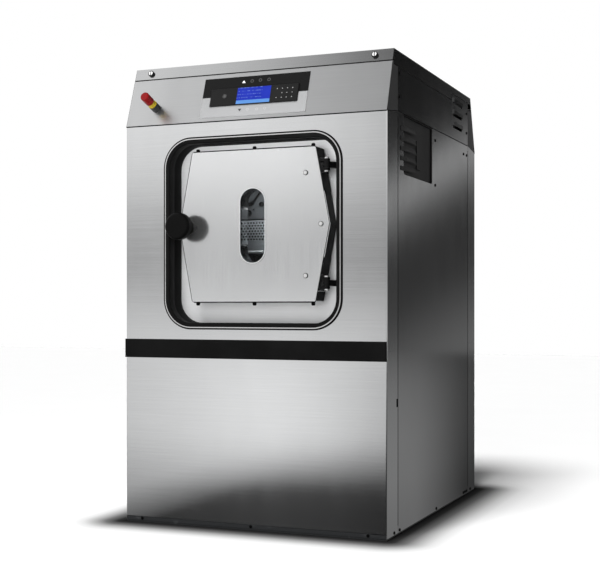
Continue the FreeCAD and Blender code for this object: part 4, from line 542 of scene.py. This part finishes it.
# Painted shade: the flaps are the drum's sheet toned darker, the upper flap most, for the shade inside the
# drum
drum_sheet("lower_flap", (0.22, 0.32), shadow_below=-0.082)
drum_sheet("upper_flap", (0.05, 0.09))
hinge_steel("hinge_steel")
hinge_bracket("hinge_bracket")
coated("frame_paint", (0.016, 0.017, 0.018, 1), 0.50)
coated("spring_paint", (0.018, 0.018, 0.020, 1), 0.38)
moulded("rubber", grey(0.003), grey(0.006), 0.60, shine=0.09)
moulded("black_plastic", grey(0.006), grey(0.010), 0.42, 1100.0, 0.08, 0.2)
moulded("knob_plastic", grey(0.002), grey(0.003), 0.45, 700.0, 0.10, 0.07)
moulded("grey_plastic", grey(0.13), grey(0.17), 0.45)
moulded("red_plastic", (0.15, 0.003, 0.004, 1), (0.18, 0.006, 0.006, 1), 0.30, 300.0, 0.03, 0.25)
moulded("screw_black", grey(0.002), grey(0.004), 0.50, shine=0.06)
# Black of the flap's drain holes: painted shade for the dark seen through them
moulded("hole_black", grey(0.001), grey(0.002), 0.60, shine=0.03)
moulded("icon_white", grey(0.75), grey(0.70), 0.45)
moulded("icon_dim", grey(0.055), grey(0.075), 0.45)
moulded("icon_dark", grey(0.012), grey(0.020), 0.45)
moulded("icon_faint", grey(0.30), grey(0.35), 0.45)
moulded("key_lamp", grey(0.40), grey(0.50), 0.30)
two_tone_film("overlay_film")
lit_screen("lit_screen")
stop_collar("stop_collar")
lock_face("lock_face")
polished("chrome_trim")
machined("black_metal", 0.10, 0.25)
machined("hardware", 0.62, 0.24)
cast("cast_iron", 0.09, 0.55)
cast("motor_alloy", 0.36, 0.45)
window_glass("window_glass")

BY_SLOT = {
    "stainless_panel": "front_sheet", "tub_steel": "tub_sheet", "drum_steel": "drum_sheet",
    "frame_paint": "frame_paint", "black_rubber": "rubber", "black_plastic": "black_plastic",
    "chrome_trim": "chrome_trim", "red_plastic": "red_plastic", "overlay_film": "overlay_film",
    "screen_glass": "lit_screen", "door_glass": "window_glass", "hardware_steel": "hardware",
    "cast_iron": "cast_iron", "motor_alloy": "motor_alloy", "grey_plastic": "grey_plastic",
    "spring_steel": "spring_paint",
}
BY_NODE = {
    "right_side_panel": "side_sheet", "left_side_panel": "side_sheet",
    "right_upper_side_panel": "dark_sheet", "left_upper_side_panel": "dark_sheet",
    "front_door_skin": "door_sheet", "rear_door_skin": "door_sheet",
    "front_door_knob": "knob_plastic", "rear_door_knob": "knob_plastic",
    "front_control_panel": "control_sheet", "rear_control_panel": "control_sheet", "top_lid": "lid_sheet",
    "front_door_hinge_leaves": "hinge_steel", "rear_door_hinge_leaves": "hinge_steel",
    "front_door_liner": "liner_sheet", "rear_door_liner": "liner_sheet", "tub_door_plates": "plate_sheet",
    "left_lid_lock": "lock_face", "right_lid_lock": "lock_face",
    "lower_drum_flap": "lower_flap", "upper_drum_flap": "upper_flap",
    "estop_collars": "stop_collar", "panel_screws": "screw_black", "hinge_brackets": "hinge_bracket",
}
for part in frame["record"]["subparts"]:
    shown = frame["nodes"][part["node"]]
    finish = BY_NODE.get(part["node"], BY_SLOT[part["material_slot"]])
    shown.data.materials.clear()
    shown.data.materials.append(FINISH[finish])


# Shapes, each a list of points and a list of faces

def piece(name, shape, finish, smooth=True):
    points, faces = shape
    mesh = bpy.data.meshes.new(name)
    mesh.from_pydata([tuple(p) for p in points], [], faces)
    mesh.validate()
    mesh.polygons.foreach_set("use_smooth", [smooth] * len(mesh.polygons))
    mesh.materials.append(FINISH[finish])
    made = bpy.data.objects.new(name, mesh)
    bpy.context.scene.collection.objects.link(made)
    return made


def full_turn(steps):
    """Equal angles round a full turn."""
    return [2 * math.pi * step / steps for step in range(steps)]


def sweep(rings, closed=False):
    """Quads over equal rings in a row, which is a closed loop or has a face at both ends."""
    count = len(rings)
    size = len(rings[0])
    points = [p for ring in rings for p in ring]
    faces = []
    for i in range(count if closed else count - 1):
        k = (i + 1) % count
        for j in range(size):
            m = (j + 1) % size
            faces.append((i * size + m, k * size + m, k * size + j, i * size + j))
    if not closed:
        faces.append(tuple(reversed(range(size))))
        faces.append(tuple(range((count - 1) * size, count * size)))
    return points, faces


def rounded_loop(half_x, half_z, corner, grow):
    """Points round a rounded rectangle, grown outwards, with straight runs between the corners.

    Where the corners take up the whole width, the arcs meet and their shared point is taken once.
    """
    steps = 14
    loop = []
    for sx, sz, start in ((1, 1, 0), (-1, 1, 90), (-1, -1, 180), (1, -1, 270)):
        shared = half_x == corner and start in (90, 270)
        for step in range(1 if shared else 0, steps + 1):
            angle = math.radians(start + 90 * step / steps)
            loop.append((sx * (half_x - corner) + (corner + grow) * math.cos(angle),
                         sz * (half_z - corner) + (corner + grow) * math.sin(angle)))
    return loop


def framed(profile, half_x, half_z, corner, centre_z, turn):
    """A closed profile of (grow, y) points swept round a rounded rectangle."""
    loops = [rounded_loop(half_x, half_z, corner, grow) for grow, y in profile]
    depths = [y for grow, y in profile]
    rings = []
    for places in zip(*loops):
        rings.append([turn @ Vector((x, y, centre_z + z)) for (x, z), y in zip(places, depths)])
    return sweep(rings, closed=True)


def lathe(profile, place, steps=28):
    """A profile of (radius, height) points turned about the local Z of a matrix, closed at both ends."""
    rings = []
    for radius, height in profile:
        ring = [Vector((radius * math.cos(a), radius * math.sin(a), height)) for a in full_turn(steps)]
        rings.append([place @ point for point in ring])
    return sweep(rings)


def joined(shapes):
    points = []
    faces = []
    for more_points, more_faces in shapes:
        base = len(points)
        points = points + list(more_points)
        faces = faces + [tuple(base + i for i in face) for face in more_faces]
    return points, faces


def turned(shape, turn):
    points, faces = shape
    return [turn @ p for p in points], faces


def facing(origin, outward):
    """A matrix whose local Z points outward."""
    return Matrix.Translation(origin) @ outward.to_track_quat("Z", "Y").to_matrix().to_4x4()


def on_slope(u, v, n):
    """A place on the control panel's slope: across it, up it and off it."""
    return SLOPE_FOOT + Vector((u, 0, 0)) + UP_SLOPE * v + OFF_SLOPE * n


def flat_shape(outline, n0, n1):
    """A thin flat shape on the slope, from an outline of (u, v) points."""
    return sweep([[on_slope(u, v, n) for u, v in outline] for n in (n0, n1)])


def on_drum(x, z, proud):
    """A place that stands proud of the drum at its front."""
    rise = z - DRUM_Z
    radius = DRUM_RADIUS + proud
    return Vector((x, -math.sqrt(radius * radius - rise * rise), z))


def off_drum(x, z, proud):
    """A matrix at a place on the drum's front, with its local Z pointing ahead."""
    return facing(on_drum(x, z, proud), Vector((0, -1, 0)))


# Bellows and door seals, as (grow, y) profiles

BELLOWS = [
    (0.0000, -0.5862), (0.0009, -0.5880), (0.0026, -0.5889), (0.0070, -0.5892), (0.0120, -0.5891),
    (0.0132, -0.5888), (0.0136, -0.5874), (0.0168, -0.5874), (0.0171, -0.5890), (0.0192, -0.5893),
    (0.0217, -0.5889), (0.0225, -0.5876), (0.0223, -0.5853), (0.0070, -0.5850), (0.0063, -0.5780),
    (0.0070, -0.5600), (0.0110, -0.5500), (0.0160, -0.5445), (0.0172, -0.5410), (0.0160, -0.5375),
    (0.0110, -0.5320), (0.0070, -0.5220), (0.0068, -0.5040), (0.0100, -0.5022), (0.0172, -0.5018),
    (0.0180, -0.5004), (0.0178, -0.4972), (0.0030, -0.4972), (0.0004, -0.4985), (-0.0002, -0.5060),
    (0.0010, -0.5250), (0.0040, -0.5360), (0.0052, -0.5410), (0.0040, -0.5460), (0.0010, -0.5560),
    (0.0002, -0.5700), (0.0000, -0.5800),
]
SEAL = [
    (0.0148, -0.5062), (0.0148, -0.5025), (0.0144, -0.4998), (0.0130, -0.4980), (0.0110, -0.4974),
    (0.0092, -0.4981), (0.0082, -0.4999), (0.0075, -0.5012), (0.0068, -0.4999), (0.0058, -0.4981),
    (0.0040, -0.4974), (0.0020, -0.4980), (0.0006, -0.4998), (0.0002, -0.5025), (0.0002, -0.5062),
]
for side, turn in SIDES:
    shape = framed(BELLOWS, OPENING_HALF, OPENING_HALF, OPENING_CORNER, OPENING_Z, turn)
    bellows = piece(side + "_bellows", shape, "rubber")
    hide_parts("door_bellows")
    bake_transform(bellows)
    shape = framed(SEAL, SEAL_HALF_WIDTH, SEAL_HALF_HEIGHT, SEAL_CORNER, DRUM_Z, turn)
    seal = piece(side + "_seal_bead", shape, "rubber")
    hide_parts(side + "_door_seal")
    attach(seal, side + "_door")


# Bolts along the door's top and foot flanges

BOLT = [(0.0070, 0.0), (0.0070, 0.0060), (0.0064, 0.0090), (0.0050, 0.0108), (0.0034, 0.0115),
        (0.0030, 0.0090)]
BOLT_X = 0.216
BOLT_Y = -0.5525
for side, turn in SIDES:
    bolts = []
    for x in (-BOLT_X, 0.0, BOLT_X):
        for way in (1, -1):
            seat = Vector((x, BOLT_Y, DRUM_Z + way * DOOR_HALF_HEIGHT))
            bolts.append(lathe(BOLT, turn @ facing(seat, Vector((0, 0, way)))))
    made = piece(side + "_flange_bolts", joined(bolts), "screw_black")
    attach(made, side + "_door")


# Window beads, and the black guards along the door's edges

BEAD = [(0.0002, -0.57155), (0.0003, -0.5721), (0.0007, -0.5725), (0.0013, -0.5727), (0.0019, -0.5725),
        (0.0023, -0.5721), (0.0024, -0.57155)]
GUARD_GAP = 0.0001
GUARD_EASE = 0.0008
GUARD_TOP = 0.2560
GUARD_BACK = -0.504
# Lower end, upper end, front and thickness of each guard at a hinge
HINGE_GUARDS = ((0.2245, GUARD_TOP, -0.568, 0.0030), (0.1110, 0.1695, -0.568, 0.0030),
                (0.0, 0.1110, -0.557, 0.0014))
LINE_FRONT = -0.5665
LINE_BACK = -0.5635
LINE_THICK = 0.0020
LINE_HALF = 0.226


def guard(start, end, outward, y0, y1, thick, turn):
    """A strip on the door's edge between two (x, rise) points, with its outer corners eased."""
    ease = min(GUARD_EASE, thick / 3)
    section = [(GUARD_GAP, y0), (thick - ease, y0), (thick, y0 + ease),
               (thick, y1 - ease), (thick - ease, y1), (GUARD_GAP, y1)]
    rings = []
    for x, rise in (start, end):
        rings.append([turn @ Vector((x + outward[0] * out, y, DRUM_Z + rise + outward[1] * out))
                      for out, y in section])
    faces_outwards = (end[0] - start[0]) * outward[1] < (end[1] - start[1]) * outward[0]
    return sweep(rings if faces_outwards else rings[::-1])


def flank_at(rise, right):
    """Place on a slanting flank at a height above the door's middle."""
    return (right * (DOOR_HALF_WIDTH - FLANK_RUN * abs(rise) / DOOR_HALF_HEIGHT), rise)


def flank_guard(low, high, y0, y1, thick, right, turn):
    way = 1 if low + high > 0 else -1
    outward = (right * OFF_FLANK.x, way * OFF_FLANK.y)
    return guard(flank_at(low, right), flank_at(high, right), outward, y0, y1, thick, turn)


for side, turn in SIDES:
    shape = framed(BEAD, WINDOW_HALF_WIDTH, WINDOW_HALF_HEIGHT, WINDOW_HALF_WIDTH, DRUM_Z, turn)
    bead = piece(side + "_window_bead", shape, "bead")
    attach(bead, side + "_door")
    strips = []
    for way in (1, -1):
        for low, high, y0, thick in HINGE_GUARDS:
            strips.append(flank_guard(way * low, way * high, y0, GUARD_BACK, thick, 1, turn))
        strips.append(flank_guard(0.0, way * GUARD_TOP, LINE_FRONT, LINE_BACK, LINE_THICK, -1, turn))
        left = (-LINE_HALF, way * DOOR_HALF_HEIGHT)
        right = (LINE_HALF, way * DOOR_HALF_HEIGHT)
        strips.append(guard(left, right, (0, way), LINE_FRONT, LINE_BACK, LINE_THICK, turn))
    made = piece(side + "_edge_guards", joined(strips), "rubber", smooth=False)
    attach(made, side + "_door")


# Latch, pull bar and drain holes on the drum's flaps

STUD_GAP = 0.0002
HOLE_GAP = 0.0001
BAR_PROUD = 0.0075
BAR_RADIUS = 0.0038
BAR_TOP = on_drum(-0.064, 1.172, BAR_PROUD)
BAR_FOOT = on_drum(-0.098, 1.119, BAR_PROUD)
# Across, height, radius and length of each stud
LATCH_STUDS = ((-0.0950, 1.1300, 0.0085, 0.0042), (-0.0565, 1.1250, 0.0090, 0.0100),
               (-0.1090, 1.1260, 0.0080, 0.0080), (-0.0860, 1.1060, 0.0030, 0.0060),
               (-0.1030, 1.0940, 0.0110, 0.0110))
PULL_Z = 0.956
PULL_PROUD = 0.0080
PULL_RADIUS = 0.0026
PULL_LEFT = on_drum(-0.114, PULL_Z, PULL_PROUD)
PULL_RIGHT = on_drum(-0.052, PULL_Z, PULL_PROUD)
PULL_STUDS = ((-0.1135, PULL_Z, 0.0034, 0.0095), (-0.0525, PULL_Z, 0.0034, 0.0095))
FLAP_HOLE = [(0.0036, 0.0), (0.0036, 0.0002), (0.0032, 0.0003), (0.0030, 0.00005)]
HOLE_ROWS = 7
HOLE_COLUMNS = 29
FIRST_ROW_RISE = -0.0345
FIRST_HOLE_X = -0.162


def bar_between(start, end, radius):
    """A round bar with eased ends."""
    long = (end - start).length
    ease = radius * 0.4
    profile = [(radius * 0.7, 0.0), (radius, ease), (radius, long - ease), (radius * 0.7, long)]
    return lathe(profile, facing(start, (end - start).normalized()), steps=12)


def stud(x, z, radius, tall):
    profile = [(radius * 0.8, 0.0), (radius, 0.001), (radius, tall * 0.6), (radius * 0.7, tall * 0.9),
               (radius * 0.25, tall)]
    return lathe(profile, off_drum(x, z, STUD_GAP), steps=20)


latch = [bar_between(BAR_TOP, BAR_FOOT, BAR_RADIUS)] + [stud(*sizes) for sizes in LATCH_STUDS]
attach(piece("flap_latch", joined(latch), "black_metal"), "upper_flap")
pull = [bar_between(PULL_LEFT, PULL_RIGHT, PULL_RADIUS)] + [stud(*sizes) for sizes in PULL_STUDS]
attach(piece("flap_pull", joined(pull), "pull_steel"), "lower_flap")
# The flap's drain holes are black discs on the sheet: painted shade for the dark seen through each hole
holes = []
for row in range(HOLE_ROWS):
    height = DRUM_Z + FIRST_ROW_RISE + row * ROW_PITCH
    for column in range(HOLE_COLUMNS):
        x = FIRST_HOLE_X + (column + row % 2 * 0.5) * HOLE_PITCH
        holes.append(lathe(FLAP_HOLE, off_drum(x, height, HOLE_GAP), steps=10))
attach(piece("flap_holes", joined(holes), "hole_black"), "lower_flap")


# Black seam strips between the panels

SEAM_GAP = 0.0001
SEAM_PROUD = 0.0006
SEAM_EASE = 0.0003
SEAM_HALF = 0.4845
FRONT_SEAM_LOW = 1.3918
FRONT_SEAM_HIGH = 1.3958
SLOPE_SEAM_PROUD = 0.0005
SLOPE_SEAM_LOW = 0.1824
SLOPE_SEAM_HIGH = 0.1863
SIDE_SEAM_FRONT = -0.4691
SIDE_SEAM_BACK = -0.4669
SIDE_SEAM_LOW = 0.030
SIDE_SEAM_HIGH = 1.390
UPPER_SEAM_HALF = 0.4665
UPPER_SEAM_LOW = 1.4085
UPPER_SEAM_HIGH = 1.4115


def strip_block(low, high):
    """A long strip with eased long edges, from two corners."""
    x0, y0, z0 = low
    x1, y1, z1 = high
    ease = min(SEAM_EASE, (y1 - y0) / 3)
    corners = [(y0 + ease, z0), (y1 - ease, z0), (y1, z0 + ease), (y1, z1 - ease),
               (y1 - ease, z1), (y0 + ease, z1), (y0, z1 - ease), (y0, z0 + ease)]
    return sweep([[Vector((x, y, z)) for y, z in corners] for x in (x0, x1)])


inner = HALF_WIDTH + SEAM_GAP
outer = HALF_WIDTH + SEAM_PROUD
slope_seam = [(-SEAM_HALF, SLOPE_SEAM_LOW), (SEAM_HALF, SLOPE_SEAM_LOW),
              (SEAM_HALF, SLOPE_SEAM_HIGH), (-SEAM_HALF, SLOPE_SEAM_HIGH)]
half_seams = [
    strip_block((-SEAM_HALF, FRONT - SEAM_PROUD, FRONT_SEAM_LOW),
                (SEAM_HALF, FRONT - SEAM_GAP, FRONT_SEAM_HIGH)),
    flat_shape(slope_seam, SEAM_GAP, SLOPE_SEAM_PROUD),
    strip_block((inner, SIDE_SEAM_FRONT, SIDE_SEAM_LOW), (outer, SIDE_SEAM_BACK, SIDE_SEAM_HIGH)),
    strip_block((-outer, SIDE_SEAM_FRONT, SIDE_SEAM_LOW), (-inner, SIDE_SEAM_BACK, SIDE_SEAM_HIGH)),
    strip_block((inner, -UPPER_SEAM_HALF, UPPER_SEAM_LOW), (outer, UPPER_SEAM_HALF, UPPER_SEAM_HIGH)),
]
seams = [turned(seam, turn) for side, turn in SIDES for seam in half_seams]
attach(piece("panel_seams", joined(seams), "rubber", smooth=False), "cabinet")


# Marks and keys on the control panel, placed by (u, v) on its slope

FILM = 0.0010
FACE = 0.0080
SKIN = 0.00018
UP_ARROW = [(-0.0535, 0.1415), (-0.0405, 0.1415), (-0.0470, 0.1520)]
DOWN_ARROW = [(-0.0535, 0.0420), (-0.0470, 0.0325), (-0.0405, 0.0420)]
UPPER_MARKS = ((-0.016, 0.147), (0.015, 0.148), (0.047, 0.148))
LOWER_MARKS = ((-0.018, 0.038), (0.017, 0.037), (0.047, 0.038))
ROUND_KEY = (-0.109, 0.091)
KEY = [(0.0015, 0.0), (0.0015, 0.0004), (0.0012, 0.0009), (0.0006, 0.0012)]
KEY_ROWS = (0.1055, 0.088, 0.071)
KEY_COLUMNS = (0.087, 0.106, 0.1245, 0.1435)
NO_KEY = (1, 0)


def mark(outline, foot):
    return flat_shape(outline, foot, foot + SKIN)


def disc_mark(centre, radius, foot):
    u, v = centre
    return mark([(u + radius * math.cos(a), v + radius * math.sin(a)) for a in full_turn(20)], foot)


def ring_mark(centre, radius, wall, foot):
    u, v = centre
    section = ((radius - wall, foot), (radius - wall, foot + SKIN), (radius, foot + SKIN), (radius, foot))
    rings = []
    for a in full_turn(24):
        rings.append([on_slope(u + r * math.cos(a), v + r * math.sin(a), n) for r, n in section])
    return sweep(rings, closed=True)


marks = {
    "up_arrow": ("icon_white", [mark(UP_ARROW, FILM)]),
    "upper_marks": ("icon_dim", [ring_mark(centre, 0.0062, 0.0022, FILM) for centre in UPPER_MARKS]),
    "down_arrow": ("icon_dark", [mark(DOWN_ARROW, FILM)]),
    "lower_marks": ("icon_faint", [ring_mark(centre, 0.0050, 0.0016, FILM) for centre in LOWER_MARKS]),
    "round_key": ("icon_dim", [ring_mark(ROUND_KEY, 0.0078, 0.0016, FACE),
                               disc_mark(ROUND_KEY, 0.0050, FACE)]),
}
for name, (finish, shapes) in marks.items():
    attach(piece(name, joined(shapes), finish, smooth=False), "cabinet")
keys = []
for row, v in enumerate(KEY_ROWS):
    for column, u in enumerate(KEY_COLUMNS):
        if (row, column) != NO_KEY:
            keys.append(lathe(KEY, facing(on_slope(u, v, FACE), OFF_SLOPE), steps=14))
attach(piece("key_lamps", joined(keys), "key_lamp"), "cabinet")


# Coil springs under the tub cradle

COIL_RADIUS = 0.0395
COIL_TURNS = 7.5
COIL_STEPS = 24
WIRE = 0.0055
WIRE_SIDES = 10
END_CLOSING = 0.045


def coil(x, y, low, high):
    """A coil spring with closer turns at both ends than between them."""
    count = int(COIL_TURNS * COIL_STEPS)
    rings = []
    for i in range(count + 1):
        share = i / count
        lift = share - END_CLOSING * math.sin(2 * math.pi * share)
        angle = 2 * math.pi * COIL_TURNS * share
        out = Vector((math.cos(angle), math.sin(angle), 0))
        centre = Vector((x, y, low + WIRE + (high - low - 2 * WIRE) * lift)) + out * COIL_RADIUS
        rings.append([centre + out * (WIRE * math.cos(a)) - Vector((0, 0, WIRE * math.sin(a)))
                      for a in full_turn(WIRE_SIDES)])
    return sweep(rings)


spring_low, spring_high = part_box("suspension_springs")
coils = [coil(sx * SPRING_X, sy * SPRING_Y, spring_low.z, spring_high.z) for sx in (-1, 1) for sy in (-1, 1)]
springs = piece("coil_springs", joined(coils), "spring_paint")
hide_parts("suspension_springs")
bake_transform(springs)


# Floor, light and camera

VIEWPOINT = Vector((1.6641, -4.1932, 0.7607))
VIEW_TURN = 22.345
VIEW_LENS = 70.284
VIEW_SENSOR = 36.0
VIEW_SHIFT = 0.0358
FLOOR_HALF = 14.0
# Strips on the floor fan out from fixed points: the viewpoint mirrored in the front and in the right side
FRONT_FAN = Vector((VIEWPOINT.x, 2 * FRONT - VIEWPOINT.y))
SIDE_FAN = Vector((2 * HALF_WIDTH - VIEWPOINT.x, VIEWPOINT.y))
# Brightness chosen as stops of a place or direction and a level
AHEAD = [(-0.300, 0.70), (-0.050, 1.00), (-0.023, 0.95), (-0.007, 0.80), (0.010, 0.60), (0.027, 0.46),
         (0.044, 0.42), (0.061, 0.49), (0.078, 0.64), (0.094, 0.83), (0.111, 0.99), (0.128, 1.08),
         (0.160, 1.10), (0.350, 1.02), (0.600, 0.93), (0.800, 0.86), (1.000, 0.80)]
SKY_ACROSS = [(0.00, 0.84), (0.20, 0.56), (0.265, 0.55), (0.285, 0.64), (0.313, 0.80), (0.335, 0.91),
              (0.37, 0.98), (0.42, 1.03), (0.52, 1.02), (0.80, 0.95)]
SLOPE_ACROSS = [(0.20, 0.16), (0.27, 0.22), (0.32, 0.60), (0.38, 1.00), (0.44, 1.25), (0.60, 1.28)]
SIDE_SKY = [(-0.05, 0.165), (-0.030, 0.145), (0.000, 0.085), (0.020, 0.045), (0.072, 0.035), (0.096, 0.12),
            (0.112, 0.42), (0.128, 0.42), (0.140, 0.10), (0.152, 0.020), (0.400, 0.014), (1.000, 0.30)]
FLOOR_ACROSS = [(0.00, 0.84), (0.25, 0.62), (0.32, 0.66), (0.345, 0.80), (0.37, 0.97), (0.40, 1.10),
                (0.44, 1.17), (0.48, 1.13), (0.52, 1.03), (0.56, 0.92), (0.60, 0.82), (0.80, 0.80)]
SIDE_FLOOR = [(0.485, 0.20), (0.62, 0.215), (0.85, 0.245), (1.30, 0.255), (2.16, 0.235), (4.26, 0.16),
              (9.0, 0.10)]
# Painted contact shadow: level of the floor by distance from the cabinet's footprint
CONTACT_SHADOW = [(0.00, 0.01), (0.03, 0.03), (0.07, 0.16), (0.11, 0.45), (0.15, 0.75), (0.19, 0.93), (0.25, 1.00)]


def floor_before(paint, x, y):
    """Level of the floor that the front sheet picks up, with a dark patch close to it."""
    patch_near = 0.7
    patch_far = 2.6
    patch_left = -0.5
    patch_lean = 0.6
    across = paint.ratio(paint.minus(x, FRONT_FAN.x), paint.minus(y, FRONT_FAN.y))
    lean = paint.times(paint.past(x, patch_left), patch_lean)
    away = paint.minus(paint.minus(FRONT, y), lean)
    near = paint.times(paint.fade(away, patch_near, patch_far), paint.fade(y, -0.4, 0.2))
    dark = paint.times(near, paint.span(x, -0.9, -0.4, 0.36, 0.95))
    return paint.times(paint.ramp(across, FLOOR_ACROSS), paint.minus(1.0, dark))


def floor_beside(paint, x, y):
    """Level of the floor that the right side picks up."""
    across = paint.ratio(paint.minus(x, SIDE_FAN.x), paint.minus(y, SIDE_FAN.y))
    return paint.times(paint.ramp(x, SIDE_FLOOR), paint.span(across, 0.255, 0.300, 0.22, 1.0))


def floor():
    """Pale floor with a painted contact shadow round the cabinet, and levels that only glossy metal picks
    up.
    """
    corners = [(-FLOOR_HALF, -FLOOR_HALF, 0), (FLOOR_HALF, -FLOOR_HALF, 0),
               (FLOOR_HALF, FLOOR_HALF, 0), (-FLOOR_HALF, FLOOR_HALF, 0)]
    mesh = bpy.data.meshes.new("studio_floor")
    mesh.from_pydata(corners, [], [(0, 1, 2, 3)])
    made = bpy.data.objects.new("studio_floor", mesh)
    bpy.context.scene.collection.objects.link(made)
    paint = Paint("studio_floor")
    x = paint.axis("X")
    y = paint.axis("Y")
    glossy = paint.node("ShaderNodeLightPath").outputs["Is Glossy Ray"]
    beside = paint.times(paint.span(x, 0.30, 0.50), paint.span(y, -0.66, -0.54))
    level = paint.mix(beside, floor_before(paint, x, y), floor_beside(paint, x, y))
    pale = paint.mix(paint.noise(paint.place, 2.0, 2.0), grey(0.89), grey(0.91))
    # Painted shadow: the floor darkens towards the cabinet's footprint
    off = paint.reach(paint.past(paint.size(x), HALF_WIDTH), paint.past(paint.size(y), -FRONT))
    pale = paint.mix(paint.ramp(off, CONTACT_SHADOW), grey(0.0), pale)
    paint.set(Base_Color=paint.mix(glossy, pale, grey(0.0)), Roughness=0.9, Specular_IOR_Level=0.0)
    paint.set(Emission_Color=level, Emission_Strength=glossy)
    mesh.materials.append(paint.material)


def sky():
    """White to the eye, with a soft studio around the metal: bright all round, dim beside the right side."""
    world = bpy.data.worlds.new("studio")
    world.use_nodes = True
    bpy.context.scene.world = world
    paint = Nodes(world.node_tree, "Generated")
    sky_lean = 0.7
    side_bearing = 0.273
    side_tilt = 0.55
    x = paint.axis("X")
    y = paint.axis("Y")
    height = paint.axis("Z")
    across = paint.ratio(x, paint.minus(y, paint.times(height, sky_lean)))
    upper = paint.span(height, 0.35, 0.45)
    sides = paint.mix(upper, paint.ramp(across, SKY_ACROSS), paint.ramp(across, SLOPE_ACROSS))
    bright = paint.times(paint.ramp(height, AHEAD), sides)
    bearing = paint.ratio(x, y)
    dim = paint.times(paint.span(bearing, 0.06, 0.15), paint.fade(bearing, 0.55, 0.85), paint.above(y, 0.0))
    tilt = paint.plus(height, paint.times(paint.minus(bearing, side_bearing), side_tilt))
    studio = paint.mix(dim, bright, paint.ramp(tilt, SIDE_SKY))
    path = paint.node("ShaderNodeLightPath")
    level = paint.mix(path.outputs["Is Glossy Ray"], grey(0.12), studio)
    level = paint.mix(path.outputs["Is Camera Ray"], level, grey(1.0))
    paint.feed(world.node_tree.nodes["Background"].inputs["Color"], level)


def lamp(name, kind, energy, place, target, **settings):
    """A light that shows neither to the camera nor in a reflection."""
    data = bpy.data.lights.new(name, kind)
    data.energy = energy
    for key, value in settings.items():
        setattr(data, key, value)
    made = bpy.data.objects.new(name, data)
    made.location = place
    made.rotation_euler = (Vector(target) - Vector(place)).to_track_quat("-Z", "Y").to_euler()
    made.visible_camera = False
    made.visible_glossy = False
    bpy.context.scene.collection.objects.link(made)


floor()
sky()
lamp("key", "SUN", 3.5, (-0.36, -2.40, 4.37), (0, 0, 0), angle=math.radians(21))
lamp("fill", "AREA", 90.0, (0.0, -4.6, 1.3), (0, -0.5, 1.0), size=2.4)
lamp("opening_light", "AREA", 2.4, (0.0, -1.05, 1.27), (0, -0.5, 1.30),
     shape="RECTANGLE", size=0.70, size_y=0.10)
lamp("drum_light", "AREA", 0.80, (0.0, -0.470, 1.16), (0, -0.36, 1.02), size=0.16)

camera_data = bpy.data.cameras.new("camera")
camera_data.lens = VIEW_LENS
camera_data.sensor_width = VIEW_SENSOR
camera_data.shift_y = VIEW_SHIFT
camera = bpy.data.objects.new("camera", camera_data)
camera.location = VIEWPOINT
camera.rotation_euler = (math.radians(90), 0, math.radians(VIEW_TURN))
bpy.context.scene.collection.objects.link(camera)
bpy.context.scene.camera = camera
bpy.context.scene.view_settings.view_transform = "Standard"
